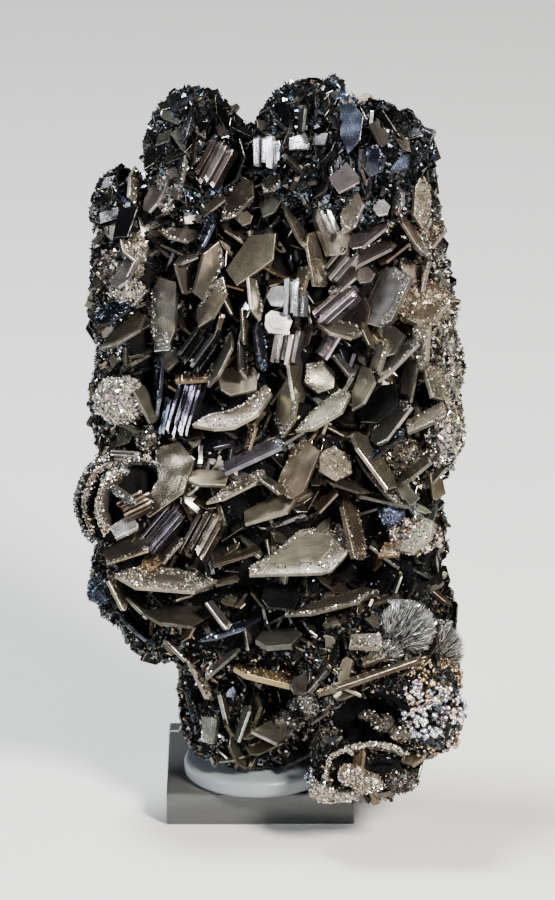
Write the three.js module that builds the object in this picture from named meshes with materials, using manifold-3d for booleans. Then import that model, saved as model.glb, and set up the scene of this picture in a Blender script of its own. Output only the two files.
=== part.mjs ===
// A silicon carbide crystal cluster on a round pad and a clear square block.
// Millimetres, +Z up. The origin is the middle of the block's underside and the
// show face looks along -Y, leaning back a little.

import * as THREE from 'three';
import { mergeVertices } from 'three/addons/utils/BufferGeometryUtils.js';
import Module from 'manifold-3d';

const wasm = await Module();
wasm.setup();

// Driving dimensions, in mm and degrees.
const blockSide = 32;
const blockHeight = 6;
const padRadius = 12.5;
const padHeight = 3;
const padCentre = [-0.5, -6.5];
const padChamfer = 0.5;
const standGap = 0.3; // clearance between the cluster and its stand
const standMargin = 3.5; // no strewn crystals start closer to the pad's top than this
const faceLean = 20; // the show face leans back from upright
const clusterRaise = 2.5; // height of the show face's own origin above the block's underside
const clusterForward = 5; // how far that origin is in front of the block's middle
const cornerSpread = 0.14; // how far a plate's corners stray from a regular outline
const lumpSwell = 1.06; // flat facets sag below the ellipsoid that they follow
const lumpSpread = 0.07; // how far a lump's surface strays from an ellipsoid
const sixCornerLength = 8.6; // shorter plates are plain rhombs
const crystalSink = 0.5; // how deep a flat-lying crystal's middle is set in the matrix
const plateGrip = 0.75; // share of a tipped plate's half-depth that it is raised by
const lamellaWall = 0.8;
const lamellaRoot = 4; // how deep a lamella is set in the matrix
const backPlateCount = 27;
const grainCount = 28;

// The cluster is laid out on its show face: u to the right, v up the face, w outwards.
const turnUp = THREE.MathUtils.degToRad(90 - faceLean);

// The spongy matrix, as ellipsoids: u, v, w, then half-sizes along u, v and w.
const lumps = [
  [2, 87, 21, 26, 26, 12],
  [3, 62, 17, 28, 26, 13.5],
  [-0.5, 40, 13, 25, 20, 13],
  [-1, 17, 4.5, 13, 16, 10.5],
  [-2, 10.5, 10, 11, 7, 8.5],
  [-16, 30, 11, 8, 8, 9],
  [-23, 37, 15, 5.5, 9, 8],
  [-22.8, 49.5, 20, 7, 9.5, 8],
  [-21.5, 66, 19, 7, 14, 8.5],
  [-21.5, 86, 22, 7, 18, 9],
  [-23.3, 97.5, 22, 4.8, 7.5, 7],
  [-11, 107.5, 28, 8.2, 11, 8],
  [7.5, 108, 29, 8.2, 12, 8],
  [17, 105, 29, 12.3, 11.5, 8.5],
  [24.5, 96, 24, 5.5, 9, 8],
  [25.5, 80, 20, 7, 18, 9],
  [27, 63, 20, 6.8, 11.5, 8],
  [24, 43, 17, 7.2, 13, 10.5],
  [27, 31, 18, 5.8, 8, 8],
  [20.2, 21, 18, 13.3, 12.5, 12.5],
  [26, 13.5, 22, 8, 7.5, 9],
  [17.3, 4, 21.5, 9, 5, 7.5],
];

// The cup low on the right, cut out of its lump: centre and half-sizes.
const cup = [19, 12.5, 32, 5.6, 4.4, 9];

// Tablets placed one by one on the show face:
// u, v, length, width, thickness, roll, tip, rise.
// Roll turns the long edge up from the right, tip turns the face upwards about
// that edge, and rise brings the right-hand end forwards.
const plates = [
  // crown of the left lobe
  [-12, 112, 6, 4, 0.9, 75, 76, 8],
  [-4.5, 105.5, 8.5, 5, 1, 70, 52, 5],
  [-13.5, 103, 7.5, 4.5, 0.9, 80, 66, -6],
  [-17, 101.5, 8.5, 5, 1, 62, 62, 0],
  [-21, 102, 7, 4, 1.1, 88, -58, 0],
  // crown of the right lobe
  [15, 111.5, 8.5, 5.5, 1.1, 78, 35, 0],
  [27, 99.5, 9, 4.5, 1.3, 88, -50, 0],
  // upper face, left
  [-4, 99.5, 8.5, 5.5, 1.1, 45, 42, 0],
  [-9, 94, 7.5, 5, 1, 65, 74, 5],
  [-13.5, 94, 6.5, 4.5, 1, -15, 55, 0],
  [-1, 90, 10.5, 7, 1.3, 45, 30, 0],
  [-8.5, 88, 10.5, 5.5, 1.2, 70, -46, 0],
  [-8, 82.5, 9.5, 5, 1.1, 62, 52, 4],
  [-16, 81, 11, 7, 1.3, 88, 34, 0],
  [-24.5, 81, 8, 5, 1, 35, 58, -8],
  [-23, 77.5, 9.5, 5.5, 1, 32, 55, -8],
  [-22.5, 88, 7, 4.5, 1, 60, 50, -15],
  [-22.5, 96, 6, 4.5, 1, 75, 45, -20],
  // upper face, middle
  [2, 99.5, 6, 4, 1, 60, 42, 0],
  [6, 95, 9.5, 5, 1, -63, 76, 6],
  [12, 94.5, 9, 5.5, 2.2, -70, 35, 0],
  [15, 97.5, 8, 5, 1.2, 65, 38, 0],
  [18, 94, 7.5, 4.5, 1.2, 38, 52, 0],
  [19, 91, 7.5, 4.5, 1.3, 28, 58, 0],
  [9.5, 89.5, 9.5, 5, 1.1, -80, 54, 0],
  [-1, 83, 7.5, 4.5, 0.9, -80, 62, 0],
  [3, 79, 4.5, 4, 1.6, -10, 18, 0],
  [14, 86, 6.5, 4, 1.1, 40, 62, 0],
  // upper face, right
  [21.5, 83.5, 10.5, 6.5, 2, 65, 38, 0],
  [25.5, 94, 10.5, 5.5, 1, -58, 74, 0],
  [27.5, 87.5, 6, 4.5, 1, 78, 76, 8],
  [28, 81, 7.5, 5.5, 1.5, 10, 48, 10],
  // centre, left
  [-17, 69, 10.5, 5.5, 1, 86, 80, 0],
  [-19, 65.5, 6.5, 4.5, 1, -60, 55, -10],
  [-11, 70, 6.5, 5, 1, 5, 68, 0],
  [-6.5, 73, 10.5, 5.5, 1, 65, 70, 4],
  [-2.5, 78.5, 6, 4.5, 0.9, -85, 74, 0],
  [-3, 73.5, 8.5, 5, 0.9, -88, 76, 0],
  [0, 75, 8, 5, 1, -85, 72, 0],
  [-3.5, 69.5, 6.5, 5.5, 1.3, 10, 40, 0],
  [-4.5, 64, 14, 8, 1.5, 20, 42, 0],
  // centre
  [6, 70, 8.5, 5, 1.1, -82, 62, 0],
  [4.5, 65, 10, 5, 1.2, 82, 50, 0],
  [10.5, 64, 11.5, 6, 1.4, 30, 58, 0],
  [10, 70, 6, 5.5, 1.3, -40, 28, 0],
  [13.5, 78, 8, 5, 1.2, -12, 60, 0],
  [17, 68, 8, 5, 1.2, 60, 46, 0],
  // centre, right
  [20, 73.5, 6, 4, 1.2, 75, 58, 0],
  [23, 73, 10.5, 5, 1.2, 45, 70, 0],
  [27, 75.5, 8.5, 4.5, 1.6, 85, 55, 8],
  [25, 69.5, 7.5, 4.5, 1.2, 82, 58, 0],
  [29.5, 69, 6.5, 4.5, 1.4, -75, 50, 15],
  [20, 65.5, 9, 6, 1.2, 42, 40, 0],
  [22, 62.5, 9.5, 5, 1.4, 52, 56, 0],
  [28, 63, 7.5, 5, 1.2, 25, 60, 10],
  // belt, left
  [-15.5, 53, 14, 8.5, 1.4, 68, 34, 0],
  [-8.5, 53, 6.5, 5, 1.1, -3, 58, 0],
  [-1, 57, 11, 5.5, 1.6, 26, 60, 0],
  [-4, 51.5, 11.5, 6, 0.9, 25, 70, 0],
  [-9.5, 43.5, 9, 6.5, 1.4, 62, 42, 0],
  [-22.5, 41, 8, 5, 1.1, 20, 50, -8],
  // belt, middle
  [6.5, 54.5, 10, 6, 1.2, 65, 40, 0],
  [2, 48, 10, 6, 1.4, 22, 54, 0],
  [12.5, 55.5, 6.5, 6, 1.4, -30, 22, 0],
  [14, 52, 9, 5, 0.8, -18, 76, 0],
  [15.5, 45, 12, 6, 1.5, -78, 66, 0],
  // belt, right
  [19, 56, 11.5, 6, 1.3, -55, 66, 0],
  [20, 52.5, 11, 5.5, 1, -48, 76, 0],
  [21, 49.5, 9, 5, 1, -12, 76, 0],
  [26.5, 55, 10, 5, 1.2, 38, 66, 8],
  [21, 59, 7.5, 5, 1.1, 40, 60, 0],
  [26, 43.5, 8, 6, 1.6, 38, 46, 6],
  // lower face
  [-16, 36, 17.5, 9, 1.2, -5, 66, 0],
  [-14, 30, 11.5, 7, 1.2, -8, 58, 0],
  [-24, 33.5, 6, 4.5, 0.9, -62, 74, -8],
  [-21, 32, 6.5, 4.5, 0.9, -45, 76, 0],
  [-20.5, 27.5, 8, 5, 1, -40, 74, 0],
  [-11, 21, 13, 6, 1, -65, 76, 0],
  [-4, 40, 8.5, 6, 0.9, 18, 78, 0],
  [7, 40.5, 18, 10.5, 1.5, 8, 38, 0],
  [-5, 27.5, 10.5, 5.5, 0.9, 20, 78, 0],
  [-7, 30, 6, 4.5, 0.9, -52, 74, 0],
  [3, 26, 8, 5.5, 2, 5, 56, 0],
  [3.5, 33, 6, 5.5, 1, -10, 40, 0],
  [12, 32, 16, 8, 1.1, 13, 74, 0],
  [1, 20, 11, 6, 1.2, -15, 68, 0],
  [-6.5, 22, 7.5, 5, 0.9, 42, 76, 0],
  // foot
  [-3, 11.5, 6.5, 4.5, 0.9, 72, 76, 0],
  [2, 10, 7, 5, 1.5, -10, 48, 0],
  [-11, 14.5, 6, 4.5, 1.1, -70, 58, 0],
  [6, 6, 5.5, 4, 1.2, 30, 50, 0],
  // cup lobe
  [7, 14, 10, 5.5, 1.8, 48, 48, 0],
  [19, 25.5, 7, 5, 1.4, 0, 40, 0],
  [18.5, 20, 19, 7, 1.4, 18, 72, 0],
  [25.5, 27, 7, 6, 1.6, 70, 30, 10],
  [29.5, 22.5, 6.5, 5, 1.4, 60, 40, 20],
  [29.5, 14, 6, 5, 1.6, 85, 35, 18],
];

// Ribbed prism bundles: u, v, length, width, thickness, roll, tip, rise.
const ribbedPrisms = [
  [-7.5, 105.5, 8, 4.5, 3, 62, 25, 0],
  [1.5, 107.5, 5.5, 4.5, 3, 90, 20, 0],
  [6, 83, 6.5, 3.5, 2.5, 88, 20, 0],
  [13.5, 88.5, 6, 3.5, 2.5, 50, 30, 0],
  [13, 82, 8, 3.5, 2.5, 42, 30, 0],
  [-12.5, 65, 10.5, 4.5, 3, 78, 22, 0],
  [-10, 74.5, 7, 5, 3, 55, 30, 0],
  [4.5, 75, 6, 4.5, 3, 80, 20, 0],
  [-16.5, 44.5, 9, 4.5, 3, 50, 25, 0],
];

// Curved lamellae: u, v, radius, start angle, swept angle, height out of the matrix.
const lamellae = [
  [-24, 50, 5, 100, 150, 3.5],
  [-21.5, 50.5, 3.2, 10, 150, 3],
  [-20, 60, 1.9, 20, 280, 2.6],
  [12.5, 4, 2.9, 30, 290, 3.5],
  [18, 2.5, 3.6, 200, 150, 3],
  [20, 8, 5, 200, 130, 3],
  [28, 24.5, 3.2, 0, 170, 3],
  [30, 11, 4, -70, 150, 2.5],
];

/** Repeatable random numbers from 0 to 1. */
function seededRandom(seed) {
  let state = seed;
  return () => {
    state = (state * 16807) % 2147483647;
    return state / 2147483647;
  };
}

/** A geometry with only its positions, each corner held once. */
function weld(geometry) {
  const bare = geometry.clone();
  bare.deleteAttribute('normal');
  bare.deleteAttribute('uv');
  return mergeVertices(bare, 1e-4);
}

/** A closed three.js geometry as a solid that can be joined and cut. */
function solidFrom(geometry) {
  const merged = weld(geometry);
  return new wasm.Manifold(new wasm.Mesh({
    numProp: 3,
    vertProperties: new Float32Array(merged.attributes.position.array),
    triVerts: new Uint32Array(merged.index.array),
  }));
}

/** A joined or cut solid as a three.js geometry again. */
function geometryFrom(solid) {
  const mesh = solid.getMesh();
  const geometry = new THREE.BufferGeometry();
  geometry.setAttribute('position', new THREE.BufferAttribute(mesh.vertProperties, 3));
  geometry.setIndex(new THREE.BufferAttribute(mesh.triVerts, 1));
  geometry.computeVertexNormals();
  return geometry;
}

/** Joins a list of solids two by two, so that no join has to deal with many pieces. */
function joinAll(solids) {
  let round = solids;
  while (round.length > 1) {
    const next = [];
    for (let i = 0; i + 1 < round.length; i += 2) next.push(round[i].add(round[i + 1]));
    if (round.length % 2) next.push(round[round.length - 1]);
    round = next;
  }
  return round[0];
}

/** Depth of the matrix surface at a place on the show face. */
function matrixDepth(u, v) {
  let depth = -Infinity;
  for (const [lumpU, lumpV, lumpW, sizeU, sizeV, sizeW] of lumps) {
    const reach = 1 - ((u - lumpU) / sizeU) ** 2 - ((v - lumpV) / sizeV) ** 2;
    if (reach > 0) depth = Math.max(depth, lumpW + sizeW * Math.sqrt(reach));
  }
  return depth > -Infinity ? depth : nearestRimDepth(u, v);
}

/** Beyond the matrix's outline, the depth at the middle of the nearest lump's rim. */
function nearestRimDepth(u, v) {
  let best = Infinity;
  let depth = 0;
  for (const [lumpU, lumpV, lumpW, sizeU, sizeV] of lumps) {
    const distance = Math.hypot((u - lumpU) / sizeU, (v - lumpV) / sizeV);
    if (distance < best) {
      best = distance;
      depth = lumpW;
    }
  }
  return depth;
}

/** One rough lump of the matrix. */
function lumpSolid([u, v, w, sizeU, sizeV, sizeW], random) {
  const rough = weld(new THREE.IcosahedronGeometry(lumpSwell, 1));
  const points = rough.attributes.position;
  for (let i = 0; i < points.count; i += 1) {
    const swell = 1 + lumpSpread * (2 * random() - 1);
    points.setXYZ(
      i,
      u + sizeU * swell * points.getX(i),
      v + sizeV * swell * points.getY(i),
      w + sizeW * swell * points.getZ(i),
    );
  }
  return solidFrom(rough);
}

/** An outline longer than wide and never quite regular: six corners, or four if short. */
function tabletOutline(length, width, random) {
  const stray = () => cornerSpread * (2 * random() - 1);
  const corners = length > sixCornerLength
    ? [[-1, -0.12], [-0.52, 1], [0.5, 0.95], [1, 0.14], [0.55, -1], [-0.5, -0.95]]
    : [[-0.95, -0.3], [-0.25, 1], [0.95, 0.35], [0.3, -1]];
  const points = corners.map(([across, up]) => new THREE.Vector2(
    (across + stray()) * length / 2,
    (up + stray()) * width / 2,
  ));
  return new THREE.Shape(points);
}

/** An outline with two ribs on each broad side, seen along a prism bundle. */
function ribbedOutline(width, thickness) {
  const points = [];
  for (const side of [1, -1]) {
    for (let rib = 0; rib <= 4; rib += 1) {
      const across = side * (rib / 4 - 0.5) * width;
      const up = side * (rib % 2 ? 0.5 : 0.36) * thickness;
      points.push(new THREE.Vector2(-across, up));
    }
  }
  return new THREE.Shape(points.reverse());
}

/** Turns and moves a crystal made flat at the origin to its place on the show face. */
function placeOnFace(geometry, [u, v, length, width, , roll, tip, rise], depth) {
  const toRadians = THREE.MathUtils.degToRad;
  geometry.rotateX(-toRadians(tip));
  geometry.rotateY(-toRadians(rise));
  geometry.rotateZ(toRadians(roll));
  const halfDepth = width / 2 * Math.abs(Math.sin(toRadians(tip)))
    + length / 2 * Math.abs(Math.sin(toRadians(rise)));
  geometry.translate(u, v, depth + plateGrip * halfDepth);
  return geometry;
}

function plateSolid(plate, random) {
  const [u, v, length, width, thickness] = plate;
  const outline = tabletOutline(length, width, random);
  const tablet = new THREE.ExtrudeGeometry(outline, { depth: thickness, bevelEnabled: false });
  tablet.translate(0, 0, -thickness / 2);
  return solidFrom(placeOnFace(tablet, plate, matrixDepth(u, v) - crystalSink));
}

function ribbedSolid(prism) {
  const [u, v, length, width, thickness] = prism;
  const outline = ribbedOutline(width, thickness);
  const bundle = new THREE.ExtrudeGeometry(outline, { depth: length, bevelEnabled: false });
  bundle.translate(0, 0, -length / 2);
  bundle.rotateY(Math.PI / 2);
  bundle.rotateX(Math.PI / 2);
  return solidFrom(placeOnFace(bundle, prism, matrixDepth(u, v) - crystalSink));
}

/** A thin curved wall standing on the matrix, open on one side or nearly a ring. */
function lamellaSolid([u, v, radius, start, swept, height]) {
  const from = THREE.MathUtils.degToRad(start);
  const to = THREE.MathUtils.degToRad(start + swept);
  const outline = new THREE.Shape();
  outline.absarc(0, 0, radius, from, to, false);
  outline.absarc(0, 0, radius - lamellaWall, to, from, true);
  const band = new THREE.ExtrudeGeometry(outline, {
    depth: height + lamellaRoot,
    bevelEnabled: false,
    curveSegments: Math.ceil(swept / 30),
  });
  band.translate(u, v, matrixDepth(u, v) - lamellaRoot);
  return solidFrom(band);
}

/** Turns +Z to an outward direction, with a free turn about it, and moves to a place. */
function standOut(geometry, place, outward, turn) {
  geometry.rotateZ(turn);
  const tilt = new THREE.Quaternion().setFromUnitVectors(new THREE.Vector3(0, 0, 1), outward);
  geometry.applyQuaternion(tilt);
  geometry.translate(place.x, place.y, place.z);
  return geometry;
}

/** A place on a lump's surface in a given direction, and the way out from it. */
function onLump([u, v, w, sizeU, sizeV, sizeW], direction) {
  const place = new THREE.Vector3(
    u + sizeU * direction.x,
    v + sizeV * direction.y,
    w + sizeW * direction.z,
  );
  const outward = new THREE.Vector3(
    direction.x / sizeU,
    direction.y / sizeV,
    direction.z / sizeW,
  );
  return { place, outward: outward.normalize() };
}

/** How far a place is from an ellipsoid's middle: 1 on its surface, less inside. */
function reachInside([u, v, w, sizeU, sizeV, sizeW], place) {
  return Math.hypot((place.x - u) / sizeU, (place.y - v) / sizeV, (place.z - w) / sizeW);
}

/** True if a crystal can grow there: not buried, not in the cup, not down by the stand. */
function openToGrowth(place) {
  const buried = lumps.some((lump) => reachInside(lump, place) < 0.93);
  const height = clusterRaise + place.y * Math.sin(turnUp) + place.z * Math.cos(turnUp);
  const byStand = height < blockHeight + padHeight + standMargin;
  return !buried && !byStand && reachInside(cup, place) > 1.2;
}

/** Scatters places over the outside of the matrix, more on the larger lumps. */
function scatter(count, random, keep) {
  const places = [];
  const girths = lumps.map(([, , , sizeU, sizeV, sizeW]) => (sizeU + sizeW) * sizeV);
  const largest = Math.max(...girths);
  while (places.length < count) {
    const pick = Math.floor(random() * lumps.length);
    if (random() * largest > girths[pick]) continue;
    const lump = lumps[pick];
    const rise = 2 * random() - 1;
    const around = 2 * Math.PI * random();
    const flat = Math.sqrt(1 - rise * rise);
    const direction = new THREE.Vector3(flat * Math.cos(around), rise, flat * Math.sin(around));
    const spot = onLump(lump, direction);
    if (openToGrowth(spot.place) && keep(spot)) places.push(spot);
  }
  return places;
}

/** Tablets on the sides, back and top, standing on edge at any angle. */
function backPlates(random) {
  const spots = scatter(backPlateCount, random, ({ outward }) => outward.z < -0.25);
  return spots.map(({ place, outward }) => {
    const length = 8 + 5 * random();
    const width = 0.6 * length;
    const tablet = new THREE.ExtrudeGeometry(
      tabletOutline(length, width, random),
      { depth: 1 + 0.6 * random(), bevelEnabled: false },
    );
    tablet.rotateX(0.6 + 0.9 * random());
    return solidFrom(standOut(tablet, place, outward, 2 * Math.PI * random()));
  });
}

/** Pointed druse crystals on the crown, the sides and the foot. */
function grains(random) {
  const spots = scatter(grainCount, random, ({ place, outward }) => {
    const crown = place.y > 103 && outward.z > -0.4;
    const side = Math.abs(outward.x) > 0.55 && outward.z > -0.3;
    const foot = place.y < 22 && outward.z > -0.2;
    return crown || side || foot;
  });
  return spots.map(({ place, outward }) => {
    const size = 0.9 + 0.9 * random();
    const height = 2 + 1.6 * random();
    const grain = new THREE.ConeGeometry(size, height, 4);
    grain.rotateX(Math.PI / 2);
    grain.translate(0, 0, 0.3 * height);
    return solidFrom(standOut(grain, place, outward, 2 * Math.PI * random()));
  });
}

/** What the stand takes up, with its clearance, in the show face's own directions. */
function standClearance() {
  const below = 10;
  const side = blockSide + 2 * standGap;
  const blockTop = blockHeight + standGap;
  const block = new THREE.BoxGeometry(side, side, blockTop + below);
  block.translate(0, 0, (blockTop - below) / 2);
  const padTop = blockHeight + padHeight + standGap;
  const pad = new THREE.CylinderGeometry(padRadius + 1, padRadius + 1, padTop + below, 24);
  pad.rotateX(Math.PI / 2);
  pad.translate(padCentre[0], padCentre[1], (padTop - below) / 2);
  block.translate(0, clusterForward, -clusterRaise);
  pad.translate(0, clusterForward, -clusterRaise);
  block.rotateX(-turnUp);
  pad.rotateX(-turnUp);
  return solidFrom(block).add(solidFrom(pad));
}

/** The whole crystal cluster as one solid. */
function clusterSolid() {
  const random = seededRandom(50);
  const matrix = joinAll(lumps.map((lump) => lumpSolid(lump, random)));
  const hollow = lumpSolid(cup, random);
  const hand = joinAll([
    ...plates.map((plate) => plateSolid(plate, random)),
    ...ribbedPrisms.map(ribbedSolid),
    ...lamellae.map(lamellaSolid),
  ]);
  const strewn = joinAll([...backPlates(random), ...grains(random)]);
  return matrix.subtract(hollow).add(hand).add(strewn).subtract(standClearance());
}

/** The round pad, its upper and lower edges chamfered. */
function padGeometry() {
  const profile = [
    [0, 0],
    [padRadius - padChamfer, 0],
    [padRadius, padChamfer],
    [padRadius, padHeight - padChamfer],
    [padRadius - padChamfer, padHeight],
    [0, padHeight],
  ].map(([radius, height]) => new THREE.Vector2(radius, height));
  const pad = new THREE.LatheGeometry(profile, 28);
  pad.rotateX(Math.PI / 2);
  return pad;
}

const crystalFinish = new THREE.MeshStandardMaterial({
  color: 0x4a463f, roughness: 0.38, metalness: 0.85,
});
const padFinish = new THREE.MeshStandardMaterial({
  color: 0xc9d0d4, roughness: 0.35, metalness: 0, transparent: true, opacity: 0.6,
});
const blockFinish = new THREE.MeshStandardMaterial({
  color: 0xe6eaec, roughness: 0.06, metalness: 0, transparent: true, opacity: 0.3,
});

const cluster = new THREE.Mesh(geometryFrom(clusterSolid()), crystalFinish);
cluster.name = 'crystal_cluster';
cluster.rotation.x = turnUp;
cluster.position.set(0, -clusterForward, clusterRaise);

const pad = new THREE.Mesh(padGeometry(), padFinish);
pad.name = 'stand_disc';
pad.position.set(padCentre[0], padCentre[1], blockHeight);

const block = new THREE.Mesh(new THREE.BoxGeometry(blockSide, blockSide, blockHeight), blockFinish);
block.name = 'stand_block';
block.position.z = blockHeight / 2;

const specimen = new THREE.Group();
specimen.add(cluster, pad, block);

export default specimen;
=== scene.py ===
import math

import bpy
import numpy as np
from mathutils import Matrix, Vector


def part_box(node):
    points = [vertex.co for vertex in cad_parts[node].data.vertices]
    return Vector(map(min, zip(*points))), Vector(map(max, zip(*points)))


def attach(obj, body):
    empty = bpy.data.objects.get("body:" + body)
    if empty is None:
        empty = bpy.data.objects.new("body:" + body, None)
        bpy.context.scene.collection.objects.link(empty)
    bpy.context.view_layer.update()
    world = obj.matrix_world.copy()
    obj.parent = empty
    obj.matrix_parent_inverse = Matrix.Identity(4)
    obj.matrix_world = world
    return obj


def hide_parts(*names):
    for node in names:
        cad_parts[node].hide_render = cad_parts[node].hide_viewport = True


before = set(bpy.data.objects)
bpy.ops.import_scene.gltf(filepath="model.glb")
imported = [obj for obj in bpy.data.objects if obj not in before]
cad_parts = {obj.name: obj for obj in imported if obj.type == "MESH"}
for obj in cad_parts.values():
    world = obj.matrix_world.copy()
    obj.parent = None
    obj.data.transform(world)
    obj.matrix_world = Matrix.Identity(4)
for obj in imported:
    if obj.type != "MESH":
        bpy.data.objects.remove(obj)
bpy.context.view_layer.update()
padLow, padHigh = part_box("stand_disc")
blockLow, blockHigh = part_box("stand_block")
print("frame loaded")

# The cluster is laid out on its show face, in mm: u to the right, v up the face and
# w outwards. The face leans back from upright and starts a little above the floor.
layout = {"lean": math.radians(20), "raise": 2.5, "forward": 5, "seed": 11}
dice = np.random.RandomState(layout["seed"])

# The matrix's lumps, as ellipsoids: u, v, w, then half-sizes along u, v and w.
lumps = [
    [2, 87, 21, 26, 26, 12],
    [3, 62, 17, 28, 26, 13.5],
    [-0.5, 40, 13, 25, 20, 13],
    [-1, 17, 4.5, 13, 16, 10.5],
    [-2, 10.5, 10, 11, 7, 8.5],
    [-16, 30, 11, 8, 8, 9],
    [-23, 37, 15, 5.5, 9, 8],
    [-22.8, 49.5, 20, 7, 9.5, 8],
    [-21.5, 66, 19, 7, 14, 8.5],
    [-21.5, 86, 22, 7, 18, 9],
    [-23.3, 97.5, 22, 4.8, 7.5, 7],
    [-11, 107.5, 28, 8.2, 11, 8],
    [7.5, 108, 29, 8.2, 12, 8],
    [17, 105, 29, 12.3, 11.5, 8.5],
    [24.5, 96, 24, 5.5, 9, 8],
    [25.5, 80, 20, 7, 18, 9],
    [27, 63, 20, 6.8, 11.5, 8],
    [24, 43, 17, 7.2, 13, 10.5],
    [27, 31, 18, 5.8, 8, 8],
    [20.2, 21, 18, 13.3, 12.5, 12.5],
    [26, 13.5, 22, 8, 7.5, 9],
    [17.3, 4, 21.5, 9, 5, 7.5],
]
cup = [19, 12.5, 32, 5.6, 4.4, 9]
# Smaller holes cut in the matrix only, and the dark places that stay free of grains so that the
# near-black matrix shows there as painted shade: u, v and half-sizes along u and v.
smallHoles = [
    [-20.3, 52.4, 28.5, 3.1, 1.8, 5],
    [14.4, 4.3, 28.6, 1.7, 1.9, 3],
    [21, 4.2, 28.6, 3.4, 1.4, 3],
]
quietSpots = [
    [19, 12.6, 6.8, 4.6],
    [-20.3, 52.4, 3.6, 2.3],
    [-25, 48.8, 5, 6.4],
    [14.4, 4.4, 1.9, 2],
    [20.8, 4.2, 3.6, 1.7],
]

# Outlines of the tablets, along their length and width, from -1 to 1.
outlines = {
    "long": [(-1, -0.12), (-0.52, 1), (0.5, 0.95), (1, 0.14), (0.55, -1), (-0.5, -0.95)],
    "blunt": [(-1, -0.5), (-1, 0.45), (-0.62, 1), (0.7, 1), (1, 0.35), (0.85, -0.9), (-0.6, -1)],
    "wedge": [(-1, -0.3), (-0.35, 0.55), (0.82, 1), (1, 0.2), (0.55, -0.85), (-0.45, -0.95)],
    "rhomb": [(-0.97, -0.35), (-0.2, 1), (0.97, 0.4), (0.3, -1)],
    "slab": [(-1, -0.75), (-0.93, 0.8), (0.88, 1), (1, -0.6), (0.8, -0.95)],
    "spear": [(-1, -0.45), (-0.9, 0.6), (0.45, 1), (1, 0.1), (0.4, -0.9)],
    "even": [(-1, 0.05), (-0.5, 1), (0.48, 1), (1, -0.02), (0.5, -1), (-0.52, -0.97)],
    "great": [(-1, -0.28), (-0.97, -0.62), (0.33, -1), (0.55, -0.9), (0.93, -0.15),
              (0.93, 0.62), (0.7, 1), (0.33, 1), (-0.05, 0.8), (-0.5, 0.22)],
    "boot": [(0.95, 0.1), (0.62, -0.95), (-0.15, -1), (-1, 0.05), (-0.9, 0.6),
             (-0.12, 0.35), (0.62, 1)],
    "crescent": [(-0.98, 0.1), (-0.62, -0.72), (-0.1, -1), (0.55, -0.75), (1, 0.35),
                 (0.95, 0.95), (0.45, 0.25), (-0.1, 0.1), (-0.55, 0.45)],
}
plainOutlines = ["long", "blunt", "wedge", "rhomb", "slab", "spear", "even"]

# What each kind of crystal skin looks like: colour, then roughness.
skins = {
    "dull": [(0.18, 0.162, 0.128), 0.3],
    "olive": [(0.22, 0.2, 0.157), 0.32],
    "grey": [(0.25, 0.235, 0.205), 0.27],
    "khaki": [(0.3, 0.265, 0.205), 0.42],
    "brown": [(0.2, 0.158, 0.112), 0.31],
    "gold": [(0.3, 0.21, 0.125), 0.28],
    "sand": [(0.27, 0.238, 0.185), 0.4],
    "grain": [(0.13, 0.115, 0.095), 0.4],
    "dark": [(0.022, 0.022, 0.025), 0.24],
    "blue": [(0.07, 0.08, 0.112), 0.18],
    "violet": [(0.12, 0.108, 0.14), 0.16],
    "umber": [(0.27, 0.22, 0.19), 0.2],
    "lilac": [(0.24, 0.235, 0.28), 0.16],
    # The rose and white skins are painted highlights: pale plates that stand in for bright flashes
    # of light on the crystals.
    "rose": [(0.46, 0.42, 0.44), 0.18],
    "white": [(0.88, 0.87, 0.9), 0.27],
}

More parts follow.
